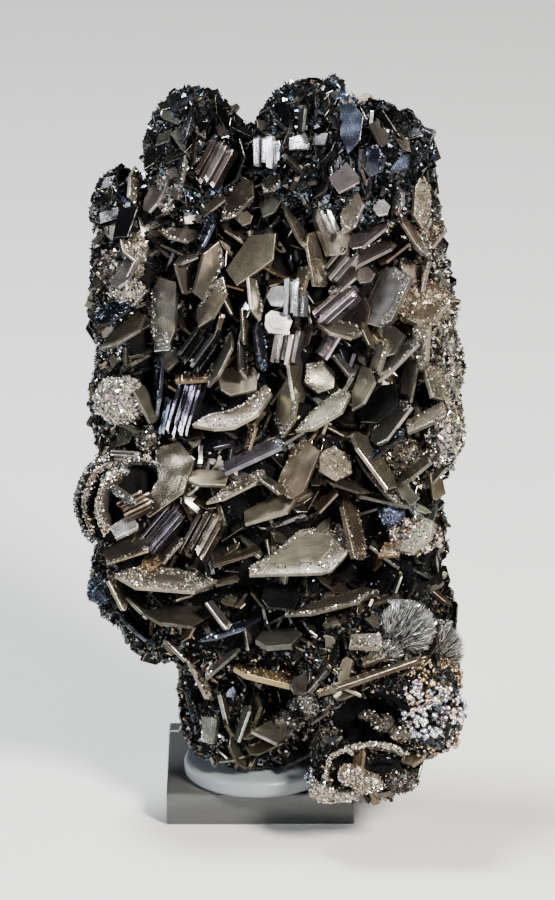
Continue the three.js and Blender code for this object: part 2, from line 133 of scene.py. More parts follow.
# Tablets placed one by one on the show face:
# u, v, length, width, thickness, roll, tip, rise, outline, skin.
# Roll turns the long edge up from the right, tip turns the face upwards about
# that edge, and rise brings the right-hand end forwards.
tablets = [
    # crown of the left lobe
    [-12, 112, 6, 4, 0.9, 75, 76, 8, "long", "violet"],
    [-16, 110, 4, 3, 0.8, 35, 50, 0, "rhomb", "grey"],
    [-4.5, 105.5, 8.5, 5, 1, 70, 52, 5, "long", "dark"],
    [-13.5, 103, 7.5, 4.5, 0.9, 80, 66, -6, "slab", "grey"],
    [-17, 101.5, 8.5, 5, 1, 62, 62, 0, "blunt", "grey"],
    [-21, 102, 7, 4, 1.1, 88, -58, 0, "long", "sand"],
    [-8, 99, 5, 3.5, 0.9, 40, 50, 0, "slab", "dull"],
    # crown of the right lobe
    [6.5, 109, 3.5, 3, 1.2, 10, 30, 0, "slab", "rose"],
    [5.5, 105.5, 5, 4, 1, -45, 80, 0, "long", "dull"],
    [7, 113, 4.5, 3.5, 0.9, 85, 72, 0, "slab", "grey"],
    [10, 109.5, 3.5, 3, 1.2, 20, 35, 0, "rhomb", "dark"],
    [15, 111.5, 8.5, 5.5, 1.1, 78, 35, 0, "wedge", "blue"],
    [19, 106, 5.5, 4.5, 1.2, 80, 40, 8, "even", "blue"],
    [20, 110.5, 4.5, 3.5, 1, -60, 45, 0, "slab", "grey"],
    [23.5, 105.5, 4.5, 4, 1, 30, 50, 0, "rhomb", "blue"],
    [27, 99.5, 9, 4.5, 1.3, 88, -50, 0, "long", "sand"],
    [14, 103, 4.5, 4.5, 1.4, 35, 22, 0, "slab", "rose"],
    [2, 102.5, 4.5, 3.5, 1, 55, 48, 0, "even", "dull"],
    # upper face, left
    [-4, 99.5, 8.5, 5.5, 1.1, 45, 42, 0, "wedge", "dull"],
    [-9, 94, 7.5, 5, 1, 65, 74, 5, "long", "blue"],
    [-13.5, 94, 6.5, 4.5, 1, -15, 55, 0, "wedge", "grey"],
    [-10.8, 97, 3.8, 1.5, 4, 10, 35, 0, "slab", "white"],
    [-12, 90, 5.5, 4, 0.9, 25, 70, 0, "long", "olive"],
    [-2.5, 96.5, 2.8, 2.4, 1.2, 20, 25, 0, "even", "grey"],
    [-1, 90, 10.5, 7, 1.3, 45, 30, 0, "spear", "olive"],
    [-8.5, 88, 10.5, 5.5, 1.2, 70, -46, 0, "spear", "dull"],
    [-8, 82.5, 9.5, 5, 1.1, 62, 52, 4, "long", "grey"],
    [-12.5, 86.5, 5.5, 4, 0.9, -70, 50, 0, "slab", "dull"],
    [-16, 81, 11, 6, 1.3, 88, 44, 0, "blunt", "grey"],
    [-24.5, 81, 8, 5, 1, 35, 58, -8, "long", "dark"],
    [-23, 77.5, 9.5, 5.5, 1, 32, 55, -8, "wedge", "dull"],
    [-22.5, 88, 7, 4.5, 1, 60, 50, -15, "blunt", "grey"],
    [-22.5, 96, 6, 4.5, 1, 75, 45, -20, "slab", "dark"],
    [-21.5, 91, 5.5, 4, 0.9, -40, 60, -10, "even", "sand"],
    # upper face, middle
    [2, 99.5, 6, 4, 1, 60, 42, 0, "long", "dull"],
    [6, 95, 9.5, 5, 1, -63, 76, 6, "long", "dull"],
    [12, 94.5, 9, 5.5, 2.2, -70, 35, 0, "blunt", "grey"],
    [15, 97.5, 8, 5, 1.2, 65, 38, 0, "wedge", "olive"],
    [20.2, 98.2, 3, 2.8, 1.4, 15, 20, 0, "even", "white"],
    [18, 94, 7.5, 4.5, 1.2, 38, 52, 0, "blunt", "grey"],
    [19, 91, 7.5, 4.5, 1.3, 28, 58, 0, "slab", "grey"],
    [9.5, 89.5, 9.5, 5, 1.1, -80, 54, 0, "blunt", "dull"],
    [7, 86, 5, 4, 1, 75, 60, 0, "slab", "brown"],
    [-1, 83, 7.5, 4.5, 0.9, -80, 62, 0, "spear", "dull"],
    [-2.3, 81.2, 3.2, 2, 0.9, 80, 30, 0, "rhomb", "white"],
    [3, 83.5, 4, 3.5, 1.3, 60, 25, 0, "even", "white"],
    [3, 79, 4.5, 4, 1.6, -10, 18, 0, "blunt", "white"],
    [14, 86, 6.5, 4, 1.1, 40, 62, 0, "long", "grey"],
    [17.5, 87, 3.5, 3, 1.2, 10, 30, 0, "even", "grey"],
    # upper face, right
    [21.5, 83.5, 10.5, 6.5, 2, 65, 38, 0, "blunt", "grey"],
    [25, 88, 5, 4, 1.3, -75, 42, 0, "slab", "sand"],
    [25.5, 94, 10.5, 5.5, 1, -58, 74, 0, "long", "dull"],
    [23, 99.5, 5, 4.5, 1, 88, 68, 0, "long", "grey"],
    [27.5, 87.5, 6, 4.5, 1, 78, 76, 8, "slab", "grey"],
    [29, 94, 5.5, 4.5, 1.3, 50, 45, 18, "blunt", "sand"],
    [28, 81, 7.5, 5.5, 1.5, 10, 48, 10, "wedge", "sand"],
    # centre, left
    [-17, 69, 10.5, 5.5, 1, 86, 80, 0, "long", "blue"],
    [-15.5, 73, 4.5, 4, 1.2, 40, 40, 0, "even", "grey"],
    [-16.5, 75.3, 3, 2.2, 1, 10, 25, 0, "slab", "white"],
    [-19, 65.5, 6.5, 4.5, 1, -60, 55, -10, "slab", "dull"],
    [-11, 70, 6.5, 5, 1, 5, 68, 0, "slab", "gold"],
    [-6.5, 73, 10.5, 5.5, 1, 65, 70, 4, "long", "dull"],
    [-2.5, 78.5, 6, 4.5, 0.9, -85, 74, 0, "slab", "dull"],
    [-3, 73.5, 8.5, 5, 0.9, -88, 76, 0, "long", "grey"],
    [0, 75, 8, 5, 1, -85, 72, 0, "blunt", "blue"],
    [-3.5, 69.5, 6.5, 5.5, 1.3, 10, 34, 0, "blunt", "khaki"],
    [-4.5, 64, 14, 8, 1.5, 20, 54, 0, "crescent", "khaki"],
    [-1.5, 60, 4.5, 4, 0.9, 75, 74, 0, "slab", "gold"],
    # centre
    [6, 70, 8.5, 5, 1.1, -82, 62, 0, "blunt", "dull"],
    [4.5, 65, 10, 5, 1.2, 82, 50, 0, "long", "olive"],
    [10.5, 64, 11.5, 6, 1.4, 30, 54, 0, "wedge", "khaki"],
    [10, 70, 6, 5.5, 1.3, -40, 28, 0, "even", "olive"],
    [13.5, 78, 8, 5, 1.2, -12, 60, 0, "long", "dull"],
    [11.5, 75.5, 5, 4, 1.2, 60, 55, 0, "slab", "rose"],
    [17, 68, 8, 5, 1.2, 60, 46, 0, "wedge", "khaki"],
    [14, 72, 5, 4.5, 0.9, -50, 74, 0, "slab", "grey"],
    [18, 77, 5.5, 4.5, 0.9, -65, 74, 0, "long", "dull"],
    # centre, right
    [22, 76, 5, 4.5, 1.6, 60, 40, 0, "blunt", "grey"],
    [20, 73.5, 6, 4, 1.2, 75, 58, 0, "slab", "sand"],
    [23, 73, 10.5, 5, 1.2, 45, 70, 0, "blunt", "grey"],
    [27, 75.5, 8.5, 4.5, 1.6, 85, 55, 8, "blunt", "sand"],
    [25, 69.5, 7.5, 4.5, 1.2, 82, 58, 0, "slab", "dull"],
    [29.5, 69, 6.5, 4.5, 1.4, -75, 50, 15, "blunt", "sand"],
    [20, 65.5, 9, 6, 1.2, 42, 40, 0, "long", "dark"],
    [22, 62.5, 9.5, 5, 1.4, 52, 56, 0, "blunt", "grey"],
    [28, 63, 7.5, 5, 1.2, 25, 60, 10, "slab", "sand"],
    [28.2, 70, 3, 2.6, 1.4, 5, 40, 0, "slab", "sand"],
    # belt, left
    [-15.5, 53, 14, 8.5, 1.4, 68, 34, 0, "boot", "dull"],
    [-8.5, 53, 6.5, 4.5, 1.1, -3, 55, 0, "blunt", "khaki"],
    [-1, 57, 11, 3.6, 1.8, 26, 55, 0, "slab", "lilac"],
    [-4, 51.5, 11.5, 5.5, 0.9, 25, 68, 0, "wedge", "khaki"],
    [2, 52, 4.5, 4, 0.9, -35, 68, 0, "slab", "dull"],
    [-15, 41, 5.5, 5, 0.9, 50, 74, 0, "slab", "grey"],
    [-22.5, 41, 8, 5, 1.1, 20, 50, -8, "slab", "dull"],
    [-18.5, 39, 5, 4, 1.1, 35, 48, 0, "wedge", "gold"],
    [-22.8, 44.7, 4.6, 3.2, 2, 30, 30, -6, "slab", "white"],
    # belt, middle
    [6.5, 54.5, 10, 6, 1.2, 65, 40, 0, "blunt", "brown"],
    [2, 48, 10, 6, 1.4, 22, 54, 0, "spear", "khaki"],
    [11, 49.5, 5, 4, 1, 50, 62, 0, "slab", "brown"],
    [12.5, 55.5, 6.5, 6, 1.4, -30, 38, 0, "even", "sand"],
    [14, 52, 9, 5, 0.8, -18, 76, 0, "long", "dull"],
    [15.5, 45, 12, 6, 1.5, -78, 66, 0, "blunt", "brown"],
    # belt, right
    [19, 56, 11.5, 6, 1.3, -55, 66, 0, "blunt", "dull"],
    [20, 52.5, 11, 5.5, 1, -48, 76, 0, "long", "dull"],
    [21, 49.5, 9, 5, 1, -12, 76, 0, "slab", "grey"],
    [26.5, 55, 10, 5, 1.2, 38, 66, 8, "wedge", "dull"],
    [21, 59, 7.5, 5, 1.1, 40, 60, 0, "slab", "dark"],
    [24.5, 50.5, 4.5, 3.5, 1.6, -50, 50, 0, "slab", "grey"],
    [26, 43.5, 8, 6, 1.6, 38, 46, 6, "even", "sand"],
    [22, 41, 5, 4, 1.3, 20, 45, 0, "rhomb", "gold"],
    # lower face
    [-16, 36, 17.5, 9, 1.2, -5, 66, 0, "long", "khaki"],
    [-14, 30, 11.5, 7, 1.2, -8, 58, 0, "wedge", "dull"],
    [-24, 33.5, 6, 4.5, 0.9, -62, 74, -8, "slab", "sand"],
    [-21, 32, 6.5, 4.5, 0.9, -45, 76, 0, "long", "grey"],
    [-20.5, 27.5, 8, 5, 1, -40, 74, 0, "long", "blue"],
    [-14, 24, 5.5, 4, 0.9, -45, 74, 0, "slab", "grey"],
    [-11, 21, 13, 6, 1, -65, 76, 0, "blunt", "sand"],
    [-4, 40, 8.5, 6, 0.9, 18, 78, 0, "slab", "brown"],
    [-5.5, 35.8, 4.2, 3.5, 0.8, 15, 76, 0, "slab", "brown"],
    [7, 40.5, 18, 10.5, 1.5, 8, 38, 0, "great", "khaki"],
    [-5, 27.5, 10.5, 5.5, 0.9, 20, 78, 0, "long", "blue"],
    [-7, 30, 6, 4.5, 0.9, -52, 74, 0, "slab", "grey"],
    [3, 26, 8, 5.5, 2, 5, 56, 0, "long", "dull"],
    [3.5, 33, 6, 5.5, 1, -10, 40, 0, "blunt", "dark"],
    [12, 32, 16, 8, 1.1, 13, 74, 0, "wedge", "olive"],
    [1, 20, 11, 6, 2, -15, 62, 0, "blunt", "gold"],
    [-6.5, 22, 7.5, 5, 0.9, 42, 76, 0, "slab", "grey"],
    # foot
    [-8.5, 10.5, 4.5, 3.5, 1.6, 85, 40, 0, "slab", "dull"],
    [-3, 11.5, 6.5, 4.5, 0.9, 72, 76, 0, "slab", "grey"],
    [2, 10, 7, 5, 1.5, -10, 48, 0, "rhomb", "grey"],
    [-11, 14.5, 6, 4.5, 1.1, -70, 58, 0, "slab", "dark"],
    [6, 6, 5.5, 4, 1.2, 30, 50, 0, "slab", "dark"],
    # cup lobe
    [17.8, 25.6, 5.6, 4.5, 1.4, 0, 55, 0, "slab", "sand"],
    [18.5, 20, 18.5, 4.6, 1.4, 19, 81, 0, "blunt", "brown"],
    [24, 32, 5, 4.5, 1, -15, 70, 0, "wedge", "white"],
    [26, 6.5, 5, 4, 1.6, 35, 45, 8, "even", "brown"],
    [13.2, 10.3, 4.5, 3, 1.2, -25, 50, 0, "slab", "sand"],
    [19.2, 22.9, 4.2, 2.6, 1.3, 22, 58, 0, "slab", "sand"],
]

# Ribbed prism bundles: u, v, length, width, thickness, roll, tip, skin, bars.
bundles = [
    [-7.5, 105.5, 8, 4.5, 2.4, 62, 25, "umber", 4],
    [11, 96.2, 5.5, 1.8, 2.2, -66, 30, "white", 2],
    [1.5, 107.5, 5.5, 4.5, 2.6, 90, 20, "white", 4],
    [6, 83, 6.5, 3.5, 2, 88, 20, "white", 4],
    [13.5, 88.5, 6, 3.5, 2, 50, 30, "grey", 4],
    [13, 82, 8, 3.5, 2, 42, 30, "rose", 4],
    [-12.3, 65.2, 10, 4, 2.4, 74, 24, "violet", 6],
    [-15.4, 63.5, 6.5, 2, 1.8, 78, 20, "blue", 3],
    [-10, 74.5, 7, 5, 2.4, 55, 30, "dark", 6],
    [4.5, 75, 6, 4.5, 2.4, 80, 20, "grey", 5],
    [-16.5, 44.5, 9, 4.5, 2.4, 50, 25, "lilac", 7],
    [-9.4, 43.7, 8.5, 4.8, 2, 62, 30, "umber", 6],
    [-20.8, 48.4, 5.5, 3.4, 1.6, 26, 30, "brown", 8],
    [-22.6, 56.8, 5, 1.9, 1.2, -4, 38, "white", 5],
]
print("lists ready")


# Small helpers for the operators and for reading and writing meshes.
def setMode(mode):
    bpy.ops.object.mode_set(mode=mode)


def clearSelection():
    if bpy.context.object and bpy.context.object.mode == "EDIT":
        setMode("OBJECT")
    bpy.ops.object.select_all(action="DESELECT")


def onlyPick(piece):
    clearSelection()
    piece.select_set(True)
    bpy.context.view_layer.objects.active = piece


def pickFaces(piece, test):
    setMode("EDIT")
    bpy.ops.mesh.select_mode(type="FACE")
    bpy.ops.mesh.select_all(action="DESELECT")
    setMode("OBJECT")
    for face in piece.data.polygons:
        face.select = test(face)
    setMode("EDIT")


def bevelFaces(piece, test, offset, segments):
    pickFaces(piece, test)
    bpy.ops.mesh.bevel(offset=offset, segments=segments, affect="EDGES")
    setMode("OBJECT")


def isCap(face):
    return abs(face.normal.z) > 0.5


def isTop(face):
    return face.normal.z > 0.9


def applyModifier(piece, kind, **settings):
    onlyPick(piece)
    extra = piece.modifiers.new(kind.lower(), kind)
    for key, value in settings.items():
        setattr(extra, key, value)
    bpy.ops.object.modifier_apply(modifier=extra.name)


def roughen(piece, name, scale, strength, middle):
    cloud = bpy.data.textures.new(name, "CLOUDS")
    cloud.noise_scale = scale
    applyModifier(piece, "DISPLACE", texture=cloud, strength=strength, mid_level=middle)


def smoothByAngle(piece, degrees):
    onlyPick(piece)
    bpy.ops.object.shade_smooth_by_angle(angle=math.radians(degrees))


def addEllipsoid(middle, sizes):
    clearSelection()
    bpy.ops.mesh.primitive_ico_sphere_add(subdivisions=4, radius=1)
    ellipsoid = bpy.context.object
    ellipsoid.data.transform(Matrix.LocRotScale(middle, None, sizes))
    return ellipsoid


def joined(parts, name):
    clearSelection()
    for part in parts:
        part.select_set(True)
    bpy.context.view_layer.objects.active = parts[0]
    bpy.ops.object.join()
    parts[0].name = name
    return parts[0]


def readSpots(mesh):
    spots = np.empty(len(mesh.vertices) * 3)
    mesh.vertices.foreach_get("co", spots)
    return spots.reshape(-1, 3)


def writeSpots(mesh, spots):
    mesh.vertices.foreach_set("co", spots.ravel())
    mesh.update()


def unit(vectors):
    return vectors / np.linalg.norm(vectors, axis=-1, keepdims=True)


def sineOf(degrees):
    return math.sin(math.radians(degrees))


def oneOf(choices):
    return choices[dice.randint(len(choices))]


def dress(piece, node, material):
    piece.data.materials.clear()
    piece.data.materials.append(material)
    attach(piece, "root")
    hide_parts(node)


def dressCrystals(piece, material):
    dress(piece, "crystal_cluster", material)
    print(piece.name, len(piece.data.polygons), "faces")


# From the show face's mm to metres in the part's own frame.
leanSine, leanCosine = math.sin(layout["lean"]), math.cos(layout["lean"])
faceTurn = np.array([[1, 0, 0], [0, leanSine, -leanCosine], [0, leanCosine, leanSine]])


def toWorld(spots):
    world = spots @ faceTurn.T
    world += [0, -layout["forward"], layout["raise"]]
    return world * 0.001


# How far out the lumps reach at u, v: for one spot or for arrays of spots.
def matrixDepth(u, v):
    depth = nearestDepth = np.zeros(np.shape(u))
    nearest = np.full(np.shape(u), 1e9)
    for lumpU, lumpV, lumpW, sizeU, sizeV, sizeW in lumps:
        spread = ((u - lumpU) / sizeU) ** 2 + ((v - lumpV) / sizeV) ** 2
        nearestDepth = np.where(spread < nearest, lumpW, nearestDepth)
        nearest = np.minimum(nearest, spread)
        reached = lumpW + sizeW * np.sqrt(np.maximum(0, 1 - spread))
        depth = np.where(spread < 1, np.maximum(depth, reached), depth)
    return np.where(depth > 0, depth, nearestDepth)


# True where none of the points reaches past the lumps' own outline by more than spare.
def withinOutline(points, spare):
    for u, v in points[:, :2]:
        if not any(((u - lump[0]) / (lump[3] + spare)) ** 2
                   + ((v - lump[1]) / (lump[4] + spare)) ** 2 < 1 for lump in lumps):
            return False
    return True


def isQuiet(u, v):
    return sum(((u - middleU) / reachU) ** 2 + ((v - middleV) / reachV) ** 2 < 1
               for middleU, middleV, reachU, reachV in quietSpots) > 0


# What counts as touching the stand, in metres: how far above the pad or the block, how far
# beside the pad, and how far beside the block. The matrix keeps a gap above the pad.
clearance = {"above": 0.0002, "pad": 0.0006, "block": 0.0004, "matrix": 0.0003}


def touchesStand(spots):
    world = toWorld(spots)
    touching = np.zeros(len(world), bool)
    for low, high, beside in ((padLow, padHigh, clearance["pad"]),
                              (blockLow, blockHigh, clearance["block"])):
        inside = world[:, 2] < high.z + clearance["above"]
        inside &= (world[:, :2] > [low.x - beside, low.y - beside]).all(axis=1)
        inside &= (world[:, :2] < [high.x + beside, high.y + beside]).all(axis=1)
        touching |= inside
    return touching


# The two points at a reach from a place, one each way.
def bothWays(place, direction, reach):
    return place + np.array([direction, -direction]) * reach


def turned(roll, tip, rise=0):
    turnX = Matrix.Rotation(math.radians(-tip), 3, "X")
    turnY = Matrix.Rotation(math.radians(-rise), 3, "Y")
    turnZ = Matrix.Rotation(math.radians(roll), 3, "Z")
    return np.array(turnZ @ turnY @ turnX)


# Many crystals are gathered in one heap and become one mesh. Each face knows its crystal's colour,
# how polished it is, and whether it is a bevelled rim, which the skin gives a painted highlight.
def heapUp(heap, spots, loops, starts, hue, polish, rim, uv):
    faces = len(starts)
    heap.append((spots, loops, starts, np.broadcast_to(hue, (faces, 3)),
                 np.broadcast_to(polish, faces), np.broadcast_to(rim, faces), uv))


# Numbers that count within each part are made to count on from the part before.
def chained(parts, counted):
    firsts = np.cumsum([0] + [len(part) for part in counted[:-1]])
    return np.concatenate([part + first for part, first in zip(parts, firsts)])


def faceLayer(mesh, name, values):
    layer = mesh.attributes.new(name, "FLOAT", "FACE")
    layer.data.foreach_set("value", np.ascontiguousarray(values, dtype=np.float32))


def hueLayer(mesh, hues):
    colours = np.column_stack([hues, np.ones(len(hues))]).astype(np.float32)
    layer = mesh.attributes.new("hue", "FLOAT_COLOR", "FACE")
    layer.data.foreach_set("color", colours.ravel())


def paint(mesh, hue, polish):
    hueLayer(mesh, np.tile(hue, (len(mesh.polygons), 1)))
    faceLayer(mesh, "polish", np.full(len(mesh.polygons), polish))


# Painted parts that are laid out on the show face become one piece in metres.
def addJoined(parts, name):
    piece = joined(parts, name)
    writeSpots(piece.data, toWorld(readSpots(piece.data)))
    dressCrystals(piece, druseSkin)


def addPiece(heap, name, material):
    spots, loops, starts, hues, polish, rims, maps = zip(*heap)
    corners, starts = chained(loops, spots), chained(starts, loops)
    spots = toWorld(np.concatenate(spots))
    mesh = bpy.data.meshes.new(name)
    mesh.vertices.add(len(spots))
    mesh.loops.add(len(corners))
    mesh.polygons.add(len(starts))
    mesh.vertices.foreach_set("co", spots.ravel())
    mesh.loops.foreach_set("vertex_index", corners)
    mesh.polygons.foreach_set("loop_start", starts)
    mesh.update(calc_edges=True)
    hueLayer(mesh, np.concatenate(hues))
    faceLayer(mesh, "polish", np.concatenate(polish))
    faceLayer(mesh, "rim", np.concatenate(rims))
    skinMap = mesh.uv_layers.new(name="skin")
    skinMap.data.foreach_set("uv", np.concatenate(maps).astype(np.float32).ravel())
    mesh.validate()
    mesh.shade_flat()
    piece = bpy.data.objects.new(name, mesh)
    bpy.context.collection.objects.link(piece)
    dressCrystals(piece, material)
    return piece


# One crystal of each kind is modelled at unit size and read into arrays, to be copied
# with its own length, width, thickness and place.
def readMaster(piece):
    mesh = piece.data
    loops = np.empty(len(mesh.loops), int)
    mesh.loops.foreach_get("vertex_index", loops)
    starts = np.empty(len(mesh.polygons), int)
    mesh.polygons.foreach_get("loop_start", starts)
    master = {"spots": readSpots(mesh), "loops": loops, "starts": starts}
    bpy.data.objects.remove(piece)
    bpy.data.meshes.remove(mesh)
    return master


# A tablet's corners lie in rings: 0 and 1 are the lower and upper edge of its side wall,
# 2 and 3 the edges of the faces inside the bevels, and 4 and 5 the foot and the top of
# the growth terrace. The heights and the reach that tell them apart come last.
unitForm = {"bevel": 0.1, "inset": 0.3, "step": 0.2, "terrace": 1.1, "cap": 0.97, "inner": 0.8}


def modelTablet(corners, terraced):
    clearSelection()
    bpy.ops.mesh.primitive_cylinder_add(vertices=corners, radius=1, depth=2)
    tablet = bpy.context.object
    bevelFaces(tablet, isCap, unitForm["bevel"], 1)
    if terraced:
        pickFaces(tablet, isTop)
        bpy.ops.mesh.inset(thickness=unitForm["inset"])
        bpy.ops.mesh.extrude_region_move(TRANSFORM_OT_translate={"value": (0, 0, unitForm["step"])})
        setMode("OBJECT")
    master = readMaster(tablet)
    spots = master["spots"]
    high, reach = spots[:, 2], np.hypot(spots[:, 0], spots[:, 1])
    onCap = high > unitForm["cap"]
    ring = np.select([high > unitForm["terrace"], onCap & (reach < unitForm["inner"]), onCap,
                      high < -unitForm["cap"], high > 0], [5, 4, 3, 2, 1], 0)
    angles = np.arctan2(spots[:, 1], spots[:, 0])
    first = angles[np.flatnonzero(ring == 1)[0]]
    corner = np.rint((angles - first) / (2 * math.pi / corners)).astype(int) % corners
    ends = np.append(master["starts"][1:], len(master["loops"]))
    rings = [set(ring[master["loops"][a:b]]) for a, b in zip(master["starts"], ends)]
    master["rim"] = np.array([1.0 if pair in ({1, 3}, {0, 2}) else 0.0 for pair in rings])
    master["side"] = np.array([pair == {0, 1} for pair in rings])
    return {**master, "ring": ring, "corner": corner}


tabletMasters = {(corners, terraced): modelTablet(corners, terraced)
                 for corners in (4, 5, 6, 7, 9, 10) for terraced in (True, False)}


def anticlockwise(points):
    points = np.array(points, float)
    nextPoints = np.roll(points, -1, axis=0)
    area = np.sum(points[:, 0] * nextPoints[:, 1] - nextPoints[:, 0] * points[:, 1])
    return points if area > 0 else points[::-1]


outlinePoints = {name: anticlockwise(points) for name, points in outlines.items()}

# How far a tablet's colour and polish stray from its skin's.
tinting = {"warm": 0.05, "range": (0.004, 0.95), "polish": (-0.12, 0.1)}
# Every crystal has its own part of the skin's pattern, within this span in mm.
patternSpan = (0, 50)


def tint(skin, depth, vary):
    colour, roughness = skins[skin]
    # The depth factor scales the colour: painted shade for fillers that lie deep, a painted
    # highlight on gleaming bundle bars, and dimming on the crowns.
    shade = depth * dice.uniform(1 - vary, 1 + vary)
    warm = dice.uniform(-1, 1) * tinting["warm"]
    hue = np.array(colour) * shade * np.array([1 + warm, 1, 1 - warm])
    return np.clip(hue, *tinting["range"]), roughness + dice.uniform(*tinting["polish"])


# A tablet: its outline scaled to length and width, the bevels and the growth terrace
# given their real sizes, and then turned and set at its depth. The terrace's size and how
# far it is off centre are shares of the face, and its step is a share of the thickness.
tabletForm = {"terrace": (0.5, 0.82), "off": (-0.16, 0.16), "step": (0.08, 0.3),
              "mostBevel": 0.3, "narrow": 0.6, "paintedSideShade": (0.25, 1)}


def addTablet(heap, place, size, turn, outline, skin, terraced=True, bevel=0.08, stray=0.06,
              shade=1.0, vary=0.5):
    length, width, thickness = size
    points = outlinePoints[outline] + dice.uniform(-stray, stray, outlinePoints[outline].shape)
    master = tabletMasters[(len(points), terraced)]
    ring = master["ring"]
    rim = points * [length / 2, width / 2]
    middle = rim.mean(axis=0)
    inner = 1 - 2 * bevel / max(tabletForm["narrow"], width)
    terrace = dice.uniform(*tabletForm["terrace"])
    shift = dice.uniform(*tabletForm["off"], 2) * [length / 2, width / 2] * (1 - terrace)
    step = dice.uniform(*tabletForm["step"]) * thickness
    shrink = np.select([ring >= 4, ring >= 2], [terrace * inner, inner], 1.0)
    flat = middle + (rim[master["corner"]] - middle) * shrink[:, None]
    flat[ring >= 4] += shift
    low, high = -thickness / 2, thickness / 2
    bevelHeight = min(bevel, thickness * tabletForm["mostBevel"])
    tall = np.select(
        [ring == 5, (ring == 4) | (ring == 3), ring == 2, ring == 1],
        [high + step, high, low, high - bevelHeight], low + bevelHeight)
    spots = np.column_stack([flat, tall])
    uv = spots[master["loops"]][:, :2] + dice.uniform(*patternSpan, 2)
    hue, roughness = tint(skin, shade, vary)
    # The side walls are painted darker than the faces by a random share: painted shade.
    faceHues = np.where(master["side"][:, None], hue * dice.uniform(*tabletForm["paintedSideShade"]), hue)
    heapUp(heap, spots @ turn.T + place, master["loops"], master["starts"],
           faceHues, roughness, master["rim"], uv)
    return {"place": np.array(place), "turn": turn, "rim": rim, "high": high, "skin": skin,
            "size": (length, width)}


# Materials.
def newMaterial(name):
    material = bpy.data.materials.new(name)
    material.use_nodes = True
    material.node_tree.nodes.clear()
    return material, material.node_tree


def setInput(tree, socket, value):
    if isinstance(value, bpy.types.NodeSocket):
        tree.links.new(value, socket)
    else:
        socket.default_value = value


def addNode(tree, kind, inputs=None, **settings):
    node = tree.nodes.new(kind)
    for key, value in settings.items():
        setattr(node, key, value)
    for key, value in (inputs or {}).items():
        setInput(tree, node.inputs[key], value)
    return node


def finishMaterial(tree, inputs):
    shader = addNode(tree, "ShaderNodeBsdfPrincipled", inputs)
    addNode(tree, "ShaderNodeOutputMaterial", {"Surface": shader.outputs[0]})


def attribute(tree, name, output="Fac"):
    return addNode(tree, "ShaderNodeAttribute", attribute_name=name).outputs[output]


def objectPlace(tree):
    return addNode(tree, "ShaderNodeTexCoord").outputs["Object"]


def mixColour(tree, factor, first, second, blend="MIX"):
    node = addNode(tree, "ShaderNodeMix", data_type="RGBA", blend_type=blend)
    for slot, value in ((0, factor), (6, first), (7, second)):
        setInput(tree, node.inputs[slot], value)
    return node.outputs[2]


def ramped(tree, value, low, high, bottom=0.0, top=1.0):
    node = addNode(tree, "ShaderNodeMapRange", {0: value, 1: low, 2: high, 3: bottom, 4: top})
    return node.outputs[0]


def combined(tree, first, second, operation="ADD"):
    return addNode(tree, "ShaderNodeMath", {0: first, 1: second}, operation=operation).outputs[0]


def noiseOutputs(tree, vector, scale, detail, roughness):
    settings = {"Vector": vector, "Scale": scale, "Detail": detail, "Roughness": roughness}
    return addNode(tree, "ShaderNodeTexNoise", settings).outputs


def noise(*settings):
    return noiseOutputs(*settings)["Fac"]


# The skin of tablets and bundles: how far its growth lines stand out, how strong its painted glints
# are (pale specks standing in for sparkle), and how strong the painted highlight on its bevelled
# rims is.
def skinMaterial(name, striation, paintedGlint, rimHighlightStrength):
    material, tree = newMaterial(name)
    skinMap = addNode(tree, "ShaderNodeUVMap", uv_map="skin").outputs["UV"]
    place = objectPlace(tree)
    lengthwise = addNode(tree, "ShaderNodeMapping", {"Vector": skinMap, "Scale": (0.12, 1, 1)})
    lines = noise(tree, lengthwise.outputs[0], 3.4, 4, 0.72)
    clouds = noise(tree, place, 260, 4, 0.6)
    pits = noise(tree, skinMap, 3.2, 3, 0.7)
    glints = noise(tree, skinMap, 5.5, 1, 0.5)
    drift = noiseOutputs(tree, place, 55, 1, 0.5)["Color"]
    colour = mixColour(tree, 0.16, attribute(tree, "hue", "Color"), drift, "OVERLAY")
    shade = combined(tree, ramped(tree, clouds, 0.3, 0.7, 0.62, 1.3),
                     ramped(tree, lines, 0.35, 0.65, 1 - striation, 1 + striation), "MULTIPLY")
    grey = addNode(tree, "ShaderNodeCombineColor", {0: shade, 1: shade, 2: shade})
    colour = mixColour(tree, 1.0, colour, grey.outputs[0], "MULTIPLY")
    # Pale specks at the glint noise's peaks are painted glints: sparkle painted into the colour.
    speck = ramped(tree, glints, 0.64, 0.7, 0, paintedGlint)
    colour = mixColour(tree, speck, colour, (0.75, 0.68, 0.56, 1))
    # The bevelled rims get a painted highlight: a pale colour, broken up by the pits noise.
    rimHighlightColour = mixColour(tree, 0.35, colour, (0.62, 0.56, 0.47, 1))
    rimHighlightMask = ramped(tree, pits, 0.45, 0.6, 0, rimHighlightStrength * 2.5)
    rimHighlightMask = combined(tree, attribute(tree, "rim"), rimHighlightMask, "MULTIPLY")
    colour = mixColour(tree, rimHighlightMask, colour, rimHighlightColour)
    rough = combined(tree, attribute(tree, "polish"), ramped(tree, pits, 0.3, 0.7, -0.04, 0.06))
    height = combined(tree, combined(tree, lines, 1.3, "MULTIPLY"),
                      combined(tree, pits, 0.4, "MULTIPLY"))
    sway = noise(tree, place, 210, 1, 0.4)
    swayBump = addNode(tree, "ShaderNodeBump",
                       {"Height": sway, "Strength": 1.0, "Distance": 0.00045})
    bump = addNode(tree, "ShaderNodeBump", {"Height": height, "Strength": 0.55,
                                            "Distance": 0.00004, "Normal": swayBump.outputs[0]})
    finishMaterial(tree, {"Base Color": colour, "Roughness": rough, "Normal": bump.outputs[0],
                          "Metallic": 0.92, "Specular IOR Level": 0.6})
    return material


